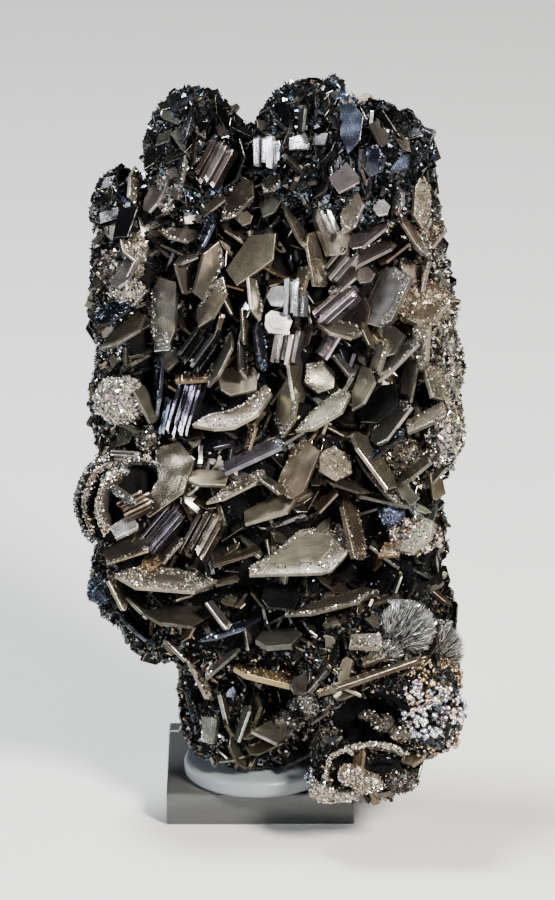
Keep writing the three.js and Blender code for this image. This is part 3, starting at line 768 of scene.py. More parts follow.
def druseMaterial():
    material, tree = newMaterial("druseSkin")
    mottle = noiseOutputs(tree, objectPlace(tree), 900, 2, 0.6)
    colour = mixColour(tree, 0.22, attribute(tree, "hue", "Color"), mottle["Color"], "OVERLAY")
    bump = addNode(tree, "ShaderNodeBump",
                   {"Height": mottle["Fac"], "Strength": 0.4, "Distance": 0.0002})
    finishMaterial(tree, {"Base Color": colour, "Roughness": attribute(tree, "polish"),
                          "Normal": bump.outputs[0], "Metallic": 0.88,
                          "Specular IOR Level": 0.8})
    return material


def matrixMaterial():
    material, tree = newMaterial("spongyMatrixShade")
    place = objectPlace(tree)
    grain = noise(tree, place, 1400, 3, 0.7)
    patches = noise(tree, place, 170, 3, 0.6)
    # The near-black base is painted shade for the deep gaps between the crystals.
    base = mixColour(tree, ramped(tree, patches, 0.4, 0.65), (0.001, 0.001, 0.0015, 1),
                     (0.004, 0.0035, 0.003, 1))
    speck = ramped(tree, grain, 0.7, 0.74, 0, 0.2)
    colour = mixColour(tree, speck, base, (0.1, 0.105, 0.12, 1))
    bump = addNode(tree, "ShaderNodeBump", {"Height": grain, "Strength": 0.8, "Distance": 0.0004})
    rough = ramped(tree, patches, 0.3, 0.7, 0.6, 0.85)
    finishMaterial(tree, {"Base Color": colour, "Roughness": rough, "Normal": bump.outputs[0],
                          "Metallic": 0, "Specular IOR Level": 0.05})
    return material


tabletSkin = skinMaterial("tabletSkin", 0.24, 0.14, 0.2)
bundleSkin = skinMaterial("bundleSkin", 0.25, 0.1, 0.25)
druseSkin = druseMaterial()
matrixShadeSkin = matrixMaterial()
print("materials ready")

# The spongy matrix: joined lumps with the cup cut out, made rough and nearly black, a painted shade
# for the deep gaps between the crystals. Its face lies deeper than the lumps' own, where crystals
# cover it, and less so on the crowns and on the cup's lobe.
sponge = {"voxel": 0.85, "deeper": 2.8, "edgeDeeper": 1.0, "crownFrom": 95, "lobeFrom": 10,
          "lobeTop": 25, "middle": 0.55, "smooth": 28,
          "clouds": [("coarseSponge", 3.2, 1.5), ("fineSponge", 1.1, 0.6)]}


def modelMatrix():
    parts = []
    for u, v, w, sizeU, sizeV, sizeW in lumps:
        edgeLump = v > sponge["crownFrom"] or (u > sponge["lobeFrom"] and v < sponge["lobeTop"])
        deeper = sponge["edgeDeeper" if edgeLump else "deeper"]
        parts.append(addEllipsoid((u, v, w), (sizeU, sizeV, sizeW - deeper)))
    matrix = joined(parts, "crystal_matrix")
    applyModifier(matrix, "REMESH", mode="VOXEL", voxel_size=sponge["voxel"])
    for cut in [cup] + smallHoles:
        hollow = addEllipsoid(cut[:3], cut[3:])
        applyModifier(matrix, "BOOLEAN", operation="DIFFERENCE", solver="EXACT", object=hollow)
        bpy.data.objects.remove(hollow)
    applyModifier(matrix, "REMESH", mode="VOXEL", voxel_size=sponge["voxel"])
    for name, scale, strength in sponge["clouds"]:
        roughen(matrix, name, scale, strength, sponge["middle"])
    return matrix


matrix = modelMatrix()
matrixSpots = readSpots(matrix.data)

# Where new crystals can grow: the matrix's own faces, by area.
matrix.data.calc_loop_triangles()
triangles = np.empty(len(matrix.data.loop_triangles) * 3, int)
matrix.data.loop_triangles.foreach_get("vertices", triangles)
growth = matrixSpots[triangles.reshape(-1, 3)]
growthNormals = np.cross(growth[:, 1] - growth[:, 0], growth[:, 2] - growth[:, 0])
growthAreas = np.linalg.norm(growthNormals, axis=1) / 2
growthNormals /= np.maximum(1e-9, 2 * growthAreas)[:, None]
growthMiddles = growth.mean(axis=1)

# The matrix keeps clear of the pad and the block.
worldSpots = toWorld(matrixSpots)
worldSpots[touchesStand(matrixSpots), 2] = padHigh.z + clearance["matrix"]
writeSpots(matrix.data, worldSpots)
smoothByAngle(matrix, sponge["smooth"])
dressCrystals(matrix, matrixShadeSkin)


# Random places on the matrix. The weight is worked out from u, v, and how far the surface
# faces to the right and outwards.
def growthSites(amount, weight):
    share = growthAreas * weight(growthMiddles[:, 0], growthMiddles[:, 1],
                                 growthNormals[:, 0], growthNormals[:, 2])
    picks = dice.choice(len(share), size=amount, p=share / share.sum())
    blend = dice.dirichlet((1, 1, 1), amount)
    return np.einsum("nk,nkj->nj", blend, growth[picks]), growthNormals[picks]


# The listed tablets of the show face. They are sunk a little and held up by most of the depth that
# their tip and rise give them, and those on the crowns are dim.
faceSet = {"sink": 0.5, "grip": 0.75, "thin": 0.55, "terraced": 0.4,
           "crown": 102, "crownShade": 0.5, "vary": 0.22}
faceHeap = []
placed = []
for u, v, length, width, thickness, roll, tip, rise, outline, skin in tablets:
    reach = width / 2 * abs(sineOf(tip)) + length / 2 * abs(sineOf(rise))
    depth = matrixDepth(u, v) - faceSet["sink"] + faceSet["grip"] * reach
    # The white and rose tablets are painted highlights, so they stay bright on the crowns too.
    dim = v > faceSet["crown"] and skin not in ("white", "rose")
    placed.append(addTablet(faceHeap, (u, v, depth), (length, width, thickness * faceSet["thin"]),
                            turned(roll, tip, rise), outline, skin,
                            dice.rand() < faceSet["terraced"], vary=faceSet["vary"],
                            shade=faceSet["crownShade"] if dim else 1.0))
addPiece(faceHeap, "show_face_tablets", tabletSkin)

# Ribbed prism bundles: long bars grown side by side, each with its own end. Every other bar stands
# proud, and every third one is painted bright as a painted highlight, while the others are painted
# darker.
bundle = {"sink": 0.2, "along": (-0.08, 0.08), "lift": (-0.2, 0.2), "proud": 0.3, "low": -0.25,
          "length": (0.78, 1.04), "lap": 1.05, "paintedGleam": (1.2, 1.9), "plain": (0.35, 0.9),
          "bevel": 0.1, "stray": 0.04, "vary": 0.1}
bundleHeap = []
for u, v, length, width, thickness, roll, tip, skin, bars in bundles:
    reach = width / 2 * abs(sineOf(tip))
    depth = matrixDepth(u, v) - bundle["sink"] + faceSet["grip"] * reach
    turn = turned(roll, tip)
    for bar in range(bars):
        across = ((bar + 0.5) / bars - 0.5) * width
        along = dice.uniform(*bundle["along"]) * length
        lift = dice.uniform(*bundle["lift"]) + bundle["proud" if bar % 2 else "low"]
        place = np.array([u, v, depth]) + turn @ np.array([along, across, lift])
        size = (length * dice.uniform(*bundle["length"]), width / bars * bundle["lap"], thickness)
        shade = dice.uniform(*bundle["paintedGleam" if bar % 3 == 1 else "plain"])
        addTablet(bundleHeap, place, size, turn, "slab", skin, False, bundle["bevel"],
                  bundle["stray"], shade, bundle["vary"])
addPiece(bundleHeap, "prism_bundles", bundleSkin)

# Smaller tablets that fill the space between and behind the listed ones. Width is a share of length,
# angles are in degrees, and the skins go by height on the face. Near a listed one they lie behind
# it, and one that would lie too deep is left out.
filler = {"count": 900, "crown": 200, "length": (2.6, 7.5), "slim": (0.26, 0.6),
          "thick": (0.35, 0.8), "roll": (15, 90), "tip": (25, 82), "rise": (-18, 18),
          "leftward": 0.4, "top": 118, "crownFrom": 97, "footTo": 36, "shade": (0.25, 0.8),
          "raised": 0.4, "handNear": 0.38, "near": 0.3, "behind": 0.4, "deepest": 3.5,
          "spare": 0.5, "terraced": 0.4, "bevel": 0.06, "crownShade": 0.5}
crownSkins = ["dark"] * 7 + ["dull"] * 4 + ["blue"] * 3 + ["grey", "violet"]
faceSkins = ["dull"] * 10 + ["grey"] * 4 + ["brown"] * 3 + ["dark"] * 4
faceSkins += ["blue", "violet", "white", "sand", "gold", "rose"]
footSkins = ["dull"] * 5 + ["dark"] * 5 + ["brown"] * 2 + ["grey"]
handSpots = np.array([tablet["place"] for tablet in placed])
handReach = np.array([tablet["size"][0] for tablet in placed]) * filler["handNear"]
fillerHeap = []
sites = np.vstack([
    growthSites(filler["count"], lambda u, v, right, out: (out > 0.3) * (v > 3))[0],
    growthSites(filler["crown"], lambda u, v, right, out: (out > 0) * (v > 98))[0]])
for site in sites:
    length = dice.uniform(*filler["length"])
    width = length * dice.uniform(*filler["slim"])
    leftward = filler["leftward"]
    roll = dice.choice([-1, 1], p=[leftward, 1 - leftward]) * dice.uniform(*filler["roll"])
    tip, rise = dice.uniform(*filler["tip"]), dice.uniform(*filler["rise"])
    half = width / 2 * sineOf(tip)
    depth = site[2] + half * filler["raised"]
    near = np.hypot(handSpots[:, 0] - site[0], handSpots[:, 1] - site[1])
    under = near < handReach + length * filler["near"]
    if under.any():
        depth = min(depth, handSpots[under, 2].min() - half - filler["behind"])
    if isQuiet(site[0], site[1]) or depth < site[2] - filler["deepest"]:
        continue
    place = np.array([site[0], site[1], depth])
    turn = turned(roll, tip, rise)
    ends = bothWays(place, turn[:, 0], length / 2)
    if not withinOutline(ends, filler["spare"]):
        continue
    place[1] -= max(0, ends[:, 1].max() + width / 3 - filler["top"])
    if touchesStand(place + [[0, -length / 2, 0], [0, 0, -half]]).any():
        continue
    outline = oneOf(plainOutlines)
    size = (length, width, dice.uniform(*filler["thick"]))
    onCrown = site[1] > filler["crownFrom"]
    kinds = crownSkins if onCrown else faceSkins if site[1] > filler["footTo"] else footSkins
    dim = filler["crownShade"] if onCrown else 1
    # Each filler's colour is scaled down by the shade range: painted shade for lying deep among the
    # others.
    addTablet(fillerHeap, place, size, turn, outline, oneOf(kinds),
              dice.rand() < filler["terraced"], filler["bevel"],
              shade=dice.uniform(*filler["shade"]) * dim)
addPiece(fillerHeap, "filler_tablets", tabletSkin)


# A tablet growing out of the matrix, standing on edge more or less.
def outwardTurn(out, lie):
    side = unit(np.cross(out, dice.normal(size=3)))
    flat = math.cos(lie) * side + math.sin(lie) * out
    along = unit(np.cross(flat, dice.normal(size=3)))
    return np.column_stack([along, np.cross(flat, along), flat])


# The flanks, back and underside, and the thin margin that makes the outline: how many,
# how long, where, and how far out.
flankHeap = []
flank = {"crownFrom": 92, "slim": (0.5, 0.8), "lie": (5, 60), "thick": (0.5, 1.1),
         "out": (-1.2, 0.4), "hang": 0.55, "faceFrom": 15, "backFrom": -0.3, "spare": 1.1,
         "terraced": 0.3, "bevel": 0.1, "shade": (0.3, 0.8)}
flankSpread = [
    (560, (3.2, 8.5), lambda u, v, right, out: out < -0.25, 0.22),
    (520, (1.8, 4), lambda u, v, right, out: abs(out) < 0.5, 0.12),
]
for amount, lengths, weight, proud in flankSpread:
    for site, outward in zip(*growthSites(amount, weight)):
        length = dice.uniform(*lengths)
        width = length * dice.uniform(*flank["slim"])
        turn = outwardTurn(outward, math.radians(dice.uniform(*flank["lie"])))
        place = site + outward * length * proud * dice.uniform(*flank["out"])
        if touchesStand(place + [[0, 0, 0], [0, -length * flank["hang"], 0]]).any():
            continue
        corners = np.vstack([bothWays(place, turn[:, 0], length / 2),
                             bothWays(place, turn[:, 1], width / 2)])
        inQuiet = site[2] > flank["faceFrom"] and isQuiet(site[0], site[1])
        if inQuiet and outward[2] > flank["backFrom"]:
            continue
        if not withinOutline(corners, flank["spare"]):
            continue
        outline = oneOf(plainOutlines)
        kinds = crownSkins if site[1] > flank["crownFrom"] else footSkins
        addTablet(flankHeap, place, (length, width, dice.uniform(*flank["thick"])), turn, outline,
                  oneOf(kinds), dice.rand() < flank["terraced"], flank["bevel"],
                  shade=dice.uniform(*flank["shade"]))
addPiece(flankHeap, "flank_tablets", tabletSkin)


# Grain crystals of the druse: a bead, a spike, a flake and a round pearl.
def modelGrain(kind):
    clearSelection()
    if kind == "bead":
        bpy.ops.mesh.primitive_cube_add(size=0.8)
        pickFaces(bpy.context.object, isTop)
        bpy.ops.transform.resize(value=(0.6, 0.75, 1))
        setMode("OBJECT")
    elif kind == "pearl":
        bpy.ops.mesh.primitive_uv_sphere_add(segments=8, ring_count=4, radius=0.5)
    elif kind == "spike":
        bpy.ops.mesh.primitive_cone_add(vertices=3, radius1=0.55, radius2=0, depth=1.1)
    else:
        bpy.ops.mesh.primitive_cylinder_add(vertices=3, radius=0.62, depth=0.4)
    return readMaster(bpy.context.object)


grainMasters = {kind: modelGrain(kind) for kind in ("bead", "spike", "flake", "pearl")}
grainHang = 0.5


# Sets a copy of a grain at every site, but not where it would touch the stand if it hung
# down as far as grainHang.
def setGrains(heap, kind, sites, outs, sizes, hues, polish):
    keep = ~touchesStand(sites - [[0, grainHang, 0]])
    sites, outs, sizes, hues, polish = (part[keep] for part in (sites, outs, sizes, hues, polish))
    master = grainMasters[kind]
    amount, faces = len(sites), len(master["starts"])
    side = unit(np.cross(outs, dice.normal(size=outs.shape)))
    frames = np.stack([side, np.cross(outs, side), outs], axis=2)
    local = master["spots"][None] * sizes[:, None]
    spots = np.einsum("nij,nvj->nvi", frames, local) + sites[:, None]
    copies = np.arange(amount)[:, None]
    loops = master["loops"][None] + copies * len(master["spots"])
    starts = master["starts"][None] + copies * len(master["loops"])
    uv = local[:, master["loops"], :2] + dice.uniform(*patternSpan, (amount, 1, 2))
    heapUp(heap, spots.reshape(-1, 3), loops.ravel(), starts.ravel(),
           np.repeat(hues, faces, axis=0), np.repeat(polish, faces), 0.0, uv.reshape(-1, 2))


# The grains' colours, a few of each kind, and how far they vary.
grainHues = {
    "night": [(0.012, 0.013, 0.015), (0.025, 0.025, 0.025), (0.05, 0.054, 0.06)],
    "teal": [(0.05, 0.085, 0.11), (0.03, 0.04, 0.05), (0.11, 0.16, 0.19), (0.02, 0.03, 0.04)],
    "blue": [(0.09, 0.14, 0.27), (0.24, 0.29, 0.42), (0.04, 0.05, 0.09)],
    "cream": [(0.5, 0.44, 0.35), (0.34, 0.28, 0.2), (0.75, 0.7, 0.62), (0.12, 0.1, 0.085)],
    "tan": [(0.28, 0.21, 0.14), (0.18, 0.14, 0.1), (0.42, 0.35, 0.26)],
    "gold": [(0.45, 0.3, 0.14), (0.28, 0.18, 0.085), (0.6, 0.46, 0.28)],
    "pink": [(0.6, 0.46, 0.5), (0.74, 0.7, 0.75), (0.3, 0.24, 0.32), (0.4, 0.3, 0.22)],
    "iris": [(0.47, 0.45, 0.54), (0.33, 0.37, 0.48), (0.62, 0.5, 0.47), (0.18, 0.14, 0.15),
             (0.78, 0.76, 0.8)],
    "silver": [(0.7, 0.7, 0.66), (0.5, 0.51, 0.48), (0.82, 0.81, 0.77)],
    "ash": [(0.1, 0.1, 0.095), (0.18, 0.175, 0.16), (0.06, 0.06, 0.06), (0.3, 0.29, 0.27)],
}
hueVary, hueRange = (0.7, 1.3), (0.004, 0.92)


def pickHues(amount, shares):
    odds = np.array(list(shares.values()), float)
    chosen = dice.choice(len(shares), size=amount, p=odds / odds.sum())
    hues = np.empty((amount, 3))
    for index, name in enumerate(shares):
        mask = chosen == index
        palette = np.array(grainHues[name])
        hues[mask] = palette[dice.randint(len(palette), size=mask.sum())]
    return np.clip(hues * dice.uniform(*hueVary, (amount, 1)), *hueRange)


def strewGrains(heap, kind, sites, outs, sizes, shares, polish):
    hues = pickHues(len(sites), shares)
    setGrains(heap, kind, sites, outs, sizes, hues, dice.uniform(*polish, len(sites)))


# The druse, region by region: how many grains, their size in mm, where, and their colours.
druse = [
    ["crown_druse", 15500, (0.35, 1.15), lambda u, v, right, out: (v > 96) * (out > -0.5),
     {"night": 16, "teal": 2.5, "ash": 2, "blue": 1.4, "cream": 0.3}],
    ["right_druse", 15500, (0.3, 0.9),
     lambda u, v, right, out: (u > 21) * (v > 50) * (v < 98) * (right > 0.3) * (out > -0.5),
     {"cream": 7, "silver": 4, "tan": 2.5, "ash": 3, "night": 6, "blue": 0.6}],
    ["left_druse", 15000, (0.3, 0.95),
     lambda u, v, right, out: (u < -12) * (v > 20) * (v < 100) * (right < -0.25) * (out > -0.5),
     {"night": 9, "ash": 3, "teal": 2, "cream": 1.4, "tan": 0.6, "gold": 0.4}],
    ["lobe_druse", 15000, (0.28, 0.8),
     lambda u, v, right, out: (u > 5) * (v < 34) * (out > -0.4) * np.where(v < 9, 0.4, 1),
     {"tan": 1.5, "cream": 0.6, "ash": 2, "pink": 0.3, "gold": 0.5, "night": 12}],
    ["foot_druse", 6000, (0.35, 0.95), lambda u, v, right, out: (u < 8) * (v < 24),
     {"night": 8, "ash": 3, "tan": 1.4, "teal": 1}],
    # The front druse fills the gaps between the tablets with mostly near-black grains: partly their
    # own dark tone and partly painted shade for the gaps.
    ["front_druse", 6000, (0.25, 0.7), lambda u, v, right, out: (out > 0.2) * (v > 24) * (v < 96),
     {"night": 14, "ash": 1.5, "blue": 0.8, "teal": 0.8, "gold": 0.3}],
    ["back_druse", 7500, (0.6, 1.4), lambda u, v, right, out: out < -0.2,
     {"night": 6, "ash": 4, "teal": 1, "tan": 1, "cream": 0.5}],
]
strewn = {"kinds": (("bead", 0.1), ("spike", 0.5), ("flake", 0.4)), "lean": 0.55,
          "vary": (0.7, 1.25), "spikeLonger": 1.6, "raised": 0.25, "polish": (0.08, 0.32)}
for name, amount, (small, large), weight, shares in druse:
    heap = []
    for kind, part in strewn["kinds"]:
        sites, outs = growthSites(int(amount * part), weight)
        loud = ~isQuiet(sites[:, 0], sites[:, 1]) | (outs[:, 2] < 0)
        sites, outs = sites[loud], outs[loud]
        lean = unit(outs + dice.normal(scale=strewn["lean"], size=outs.shape))
        girth = small + (large - small) * dice.rand(len(sites), 1) ** 2
        sizes = girth * dice.uniform(*strewn["vary"], sites.shape)
        sizes[:, 2] *= strewn["spikeLonger"] if kind == "spike" else 1
        strewGrains(heap, kind, sites + outs * girth * strewn["raised"], lean, sizes, shares,
                    strewn["polish"])
    addPiece(heap, name, druseSkin)


# The first half of a lot of fine grains are flakes, and the rest are spikes.
def halves(amount):
    return ("flake", slice(0, amount // 2)), ("spike", slice(amount // 2, amount))


# A crust of tiny grains on part of each tablet's face, mostly along one side.
# How much of a face is covered, where it starts from the middle, and in which colours.
crustShares = {
    "sand": (1.0, 0.0, {"cream": 5, "silver": 2, "tan": 2, "night": 2}),
    "olive": (0.25, 0.6, {"ash": 4, "cream": 2, "silver": 1, "iris": 1}),
    "khaki": (0.5, 0.3, {"ash": 2, "cream": 3, "silver": 2, "iris": 0.5}),
    "gold": (1.0, 0.0, {"gold": 3, "tan": 2, "cream": 5}),
    "dull": (0.22, 0.6, {"ash": 4, "cream": 2, "silver": 1, "iris": 1}),
    "grey": (0.2, 0.6, {"ash": 3, "cream": 2, "silver": 1, "iris": 1.5}),
    "brown": (0.25, 0.55, {"tan": 3, "ash": 2, "cream": 1}),
    "dark": (0.4, 0.3, {"night": 3, "blue": 2, "teal": 2}),
    "blue": (0.3, 0.5, {"blue": 4, "ash": 2, "night": 1}),
    "violet": (0.15, 0.6, {"blue": 1, "pink": 1, "ash": 1}),
    "lilac": (0.15, 0.6, {"blue": 1, "pink": 1, "ash": 1}),
    "rose": (0.15, 0.6, {"pink": 2, "ash": 1}),
    "white": (0.05, 0.8, {"ash": 1}),
}
crust = {"perArea": 8, "bareShare": 0.5, "neverBare": 12, "lift": 0.02, "span": 2.2,
         "full": 2, "lean": 0.5, "girth": (0.14, 0.36), "vary": (0.7, 1.3),
         "polish": (0.1, 0.4)}
crustHeap = []
for tablet in placed:
    share, reachFrom, shares = crustShares[tablet["skin"]]
    rim = tablet["rim"]
    length, width = tablet["size"]
    corners = len(rim)
    first = dice.randint(corners)
    mayBeBare = length < crust["neverBare"] and tablet["skin"] not in ("sand", "gold")
    if mayBeBare and dice.rand() < crust["bareShare"]:
        continue
    span = max(1, int(round(corners * share * crust["span"])))
    amount = int(length * width * crust["perArea"] * min(1, share * crust["full"]))
    sector = (first + dice.randint(min(span, corners), size=amount)) % corners
    edge = rim[sector] + (rim[(sector + 1) % corners] - rim[sector]) * dice.rand(amount, 1)
    middle = rim.mean(axis=0)
    flat = middle + (edge - middle) * (reachFrom + (1 - reachFrom) * np.sqrt(dice.rand(amount, 1)))
    local = np.column_stack([flat, np.full(amount, tablet["high"] + crust["lift"])])
    sites = local @ tablet["turn"].T + tablet["place"]
    outs = unit(tablet["turn"][:, 2] + dice.normal(scale=crust["lean"], size=sites.shape))
    sizes = dice.uniform(*crust["girth"], (amount, 1)) * dice.uniform(*crust["vary"], sites.shape)
    for kind, part in halves(amount):
        strewGrains(crustHeap, kind, sites[part], outs[part], sizes[part], shares,
                    crust["polish"])
addPiece(crustHeap, "tablet_crust", druseSkin)

# Mounds of fine druse: u, v, half-sizes, grain size and colours.
mounds = [
    [-23.3, 66.2, 4.4, 3.9, 3.4, 0.42, {"cream": 6, "silver": 6, "ash": 2}],
    [-18.9, 59.8, 2, 2, 1.8, 0.4, {"ash": 5, "cream": 2, "night": 3}],
    [-23.7, 88, 3.2, 3.2, 1.6, 0.6, {"cream": 1, "ash": 3, "gold": 1, "night": 6}],
    [-22.2, 84.4, 2.8, 2.2, 2, 0.5, {"cream": 6, "silver": 4, "night": 2}],
    [-15.8, 101.5, 1.5, 4, 2, 0.5, {"cream": 3, "silver": 4, "night": 4}],
    [-27.3, 34.2, 1.7, 2.4, 2, 0.45, {"night": 5, "blue": 4, "teal": 2}],
    [4.5, 11.9, 2.8, 1.7, 3, 0.32, {"cream": 4, "ash": 5, "night": 1}],
    [6.7, 13.8, 2.8, 2.2, 3.6, 0.3, {"cream": 6, "silver": 3, "ash": 3}],
    [8.8, 15.8, 2.1, 2.2, 3.6, 0.3, {"cream": 6, "silver": 3, "ash": 2}],
    [-20.8, 90.5, 1.6, 3.6, 1.6, 0.5, {"cream": 5, "ash": 2}],
    [27.3, 82.5, 4.6, 3.6, 2.2, 0.5, {"cream": 5, "tan": 5}],
    [31, 72, 3.2, 6.5, 3.6, 0.7, {"cream": 6, "silver": 3, "ash": 3, "night": 4}],
    [31, 61, 3.2, 5.5, 3.6, 0.7, {"cream": 4, "silver": 3, "tan": 1, "night": 5}],
    [23.7, 57, 3.4, 3, 1.6, 0.4, {"night": 3, "tan": 3, "ash": 2}],
    [22.3, 46.8, 1.9, 1.7, 1.8, 0.5, {"blue": 6, "pink": 1}],
    [26.2, 43.4, 4.2, 2.9, 2.2, 0.6, {"cream": 3, "pink": 2, "tan": 3, "night": 2}],
    [29.4, 17, 3.8, 4, 2, 0.7, {"tan": 1, "night": 5}],
    [28.8, 11.5, 3.8, 3.4, 2, 0.8, {"ash": 1, "night": 5}],
    [15.4, 3.3, 2.2, 1.6, 1.8, 0.38, {"cream": 6, "silver": 1, "pink": 1, "tan": 1}],
    [18, 1.9, 2.5, 1.6, 1.8, 0.38, {"cream": 7, "silver": 1, "tan": 1}],
    [11.8, 0.5, 3.3, 2, 3, 0.38, {"cream": 8, "silver": 3, "gold": 1}],
    [14.6, 0, 2.4, 1.1, 2.4, 0.38, {"cream": 7, "silver": 2, "tan": 1}],
    [23.5, 2.2, 3.2, 1.7, 1.6, 0.42, {"ash": 3, "tan": 2, "night": 4}],
    [18, 13.1, 1.4, 0.7, 4.4, 0.36, {"ash": 4, "tan": 2}],
    [21, 11.7, 2, 1.3, 5, 0.38, {"ash": 4, "tan": 3, "cream": 1}],
    [24, 10.2, 2.2, 1.3, 4.6, 0.38, {"ash": 4, "tan": 3, "cream": 1, "gold": 1}],
    [13, 10.6, 2.5, 1.2, 3, 0.4, {"ash": 2, "tan": 3, "night": 3}],
    [26.3, 6.5, 1.4, 1, 1.4, 0.5, {"pink": 3, "tan": 2}],
    [32.6, 8.4, 0.7, 0.7, 0.7, 0.5, {"cream": 3}],
    [14, 115.5, 2.2, 2, 2, 0.6, {"cream": 2, "blue": 3, "teal": 2}],
    [12.2, 118, 2, 2.5, 2.2, 0.5, {"night": 7, "teal": 2, "blue": 1}],
]
mound = {"proud": 2, "shallowest": 0.8, "clouds": (1.6, 1.1, 0.5), "front": -0.3,
         "perArea": 22, "lean": 0.6, "size": (0.6, 1.3), "vary": (0.7, 1.3), "stray": 0.15,
         "polish": (0.1, 0.4), "coreShade": 0.4, "corePolish": 0.45}
moundCores = []
moundHeap = []
for u, v, sizeU, sizeV, sizeW, grain, shares in mounds:
    middle = (u, v, matrixDepth(u, v) - max(mound["shallowest"], sizeW - mound["proud"]))
    core = addEllipsoid(middle, (sizeU, sizeV, sizeW))
    roughen(core, "moundCloud", *mound["clouds"])
    moundCores.append(core)
    spots = readSpots(core.data)
    outs = unit((spots - middle) / np.array([sizeU, sizeV, sizeW]) ** 2)
    front = np.flatnonzero(outs[:, 2] > mound["front"])
    amount = int(mound["perArea"] * sizeU * sizeV / grain ** 2)
    picks = front[dice.randint(len(front), size=amount)]
    lean = unit(outs[picks] + dice.normal(scale=mound["lean"], size=(amount, 3)))
    sizes = grain * dice.uniform(*mound["size"], (amount, 1))
    sizes = sizes * dice.uniform(*mound["vary"], (amount, 3))
    sites = spots[picks] + dice.normal(scale=mound["stray"], size=(amount, 3))
    polish = dice.uniform(*mound["polish"], amount)
    hues = pickHues(amount, shares)
    for kind, part in halves(amount):
        setGrains(moundHeap, kind, sites[part], lean[part], sizes[part], hues[part], polish[part])
    paint(core.data, mound["coreShade"] * hues.mean(axis=0), mound["corePolish"])
addJoined(moundCores, "druse_mounds")
addPiece(moundHeap, "mound_grains", druseSkin)

# Round pearls: u, v, half-sizes, amount, size and colours. Brushes of fine needles: u, v,
# half-sizes, amount and the point that they fan out from.
pearls = [
    [27, 21, 2.2, 1.7, 2.4, 80, 0.55, {"gold": 3, "pink": 2, "tan": 2}],
    [30.6, 19.6, 3.2, 3.2, 3, 210, 0.65, {"gold": 6, "tan": 3, "cream": 1, "night": 1}],
    [27.8, 17, 3.2, 2.4, 3, 130, 0.8, {"iris": 4, "pink": 2, "gold": 2}],
    [30.8, 14.6, 3.4, 3.2, 3.2, 180, 0.9, {"iris": 6, "silver": 2, "gold": 1, "blue": 0.8}],
    [27.8, 12.2, 3.4, 2.6, 3, 140, 0.9, {"iris": 5, "silver": 4, "night": 1}],
    [30.4, 10.2, 2.8, 2.8, 2.8, 130, 0.7, {"iris": 3, "gold": 2, "night": 3}],
    [27.4, 8.4, 2.4, 1.6, 2.4, 80, 0.6, {"tan": 3, "gold": 1, "night": 3}],
    [9, 2.4, 1.3, 1.5, 1.8, 50, 0.5, {"blue": 4, "silver": 3}],
]
brushes = [
    [24.4, 27.6, 4.2, 4, 3.4, 2100, (18, 20)],
    [30.9, 24.2, 2.7, 3.4, 2.8, 1000, (26, 19)],
    [20.8, 23.8, 2.4, 1.4, 2, 400, (17, 20.5)],
]


# Sites on a dome that is sunk in the matrix: most of them are on its front.
dome = {"past": 0.25, "sink": 0.8}


def domeSites(u, v, sizes, amount):
    outs = dice.normal(size=(amount, 3))
    outs[:, 2] = abs(outs[:, 2]) - dome["past"]
    outs = unit(outs)
    return [u, v, matrixDepth(u, v) - dome["sink"]] + outs * sizes, outs


pearl = {"stray": 0.25, "size": (0.55, 1.4), "vary": (0.85, 1.15), "polish": (0.08, 0.28)}
pearlHeap = []
for u, v, sizeU, sizeV, sizeW, amount, size, shares in pearls:
    sites, outs = domeSites(u, v, (sizeU, sizeV, sizeW), amount)
    sites += dice.normal(scale=pearl["stray"], size=sites.shape)
    sizes = size * dice.uniform(*pearl["size"], (amount, 1))
    sizes = sizes * dice.uniform(*pearl["vary"], (amount, 3))
    strewGrains(pearlHeap, "pearl", sites, outs, sizes, shares, pearl["polish"])
addPiece(pearlHeap, "pearl_crust", druseSkin).data.shade_smooth()

needle = {"thick": (0.2, 0.42), "long": (1.1, 2.6), "stray": 0.13, "rootSink": 1,
          "outward": 0.5, "polish": (0.1, 0.26),
          "hues": {"silver": 8, "ash": 3, "teal": 0.6, "night": 1}}
brushHeap = []
for u, v, sizeU, sizeV, sizeW, amount, root in brushes:
    sites, outs = domeSites(u, v, (sizeU, sizeV, sizeW), amount)
    rootSpot = [*root, matrixDepth(u, v) - needle["rootSink"]]
    lean = unit(sites - rootSpot) + needle["outward"] * outs
    lean = unit(lean + dice.normal(scale=needle["stray"], size=lean.shape))
    sizes = np.column_stack([dice.uniform(*needle["thick"], (amount, 2)),
                             dice.uniform(*needle["long"], amount)])
    strewGrains(brushHeap, "spike", sites, lean, sizes, needle["hues"], needle["polish"])
addPiece(brushHeap, "needle_brushes", druseSkin)

# Curved lamellae: thin walls on the matrix along part of an ellipse, tapering off at both
# ends. Centre u, v, half-sizes, start and swept angle, height, thickness, flare, skin and
# the hues of the grains on the crest.
lamellae = [
    [-24.6, 48.9, 5.3, 6.6, 98, 140, 1.4, 1.1, 1.2, "grain", "ash"],
    [-23.8, 48.6, 4.3, 5.7, 84, 138, 2.2, 1.2, 1.4, "dark", "tan"],
    [-22.8, 48.2, 3.2, 5, 96, 130, 2.8, 1.5, 1.2, "grain", "cream"],
    [-23.5, 52.2, 2.6, 1.9, 60, 110, 2.6, 1.1, 0.4, "white", "ash"],
    [-20.4, 52.4, 4.4, 3.2, 20, 120, 1.6, 0.8, 0.8, "grey", "ash"],
    [-20.2, 52.8, 4.3, 3, 195, 140, 1.2, 0.9, 0.8, "grey", "teal"],
    [14.2, 3.7, 2.9, 3.4, 62, 140, 3.2, 0.9, 0.3, "sand", "cream"],
    [18.5, -2, 11.6, 9.6, 52, 58, 3.4, 1.3, 0.9, "sand", "cream"],
    [30.3, 25.3, 3.4, 3, 60, 120, 2, 0.9, 0.8, "dull", "silver"],
]
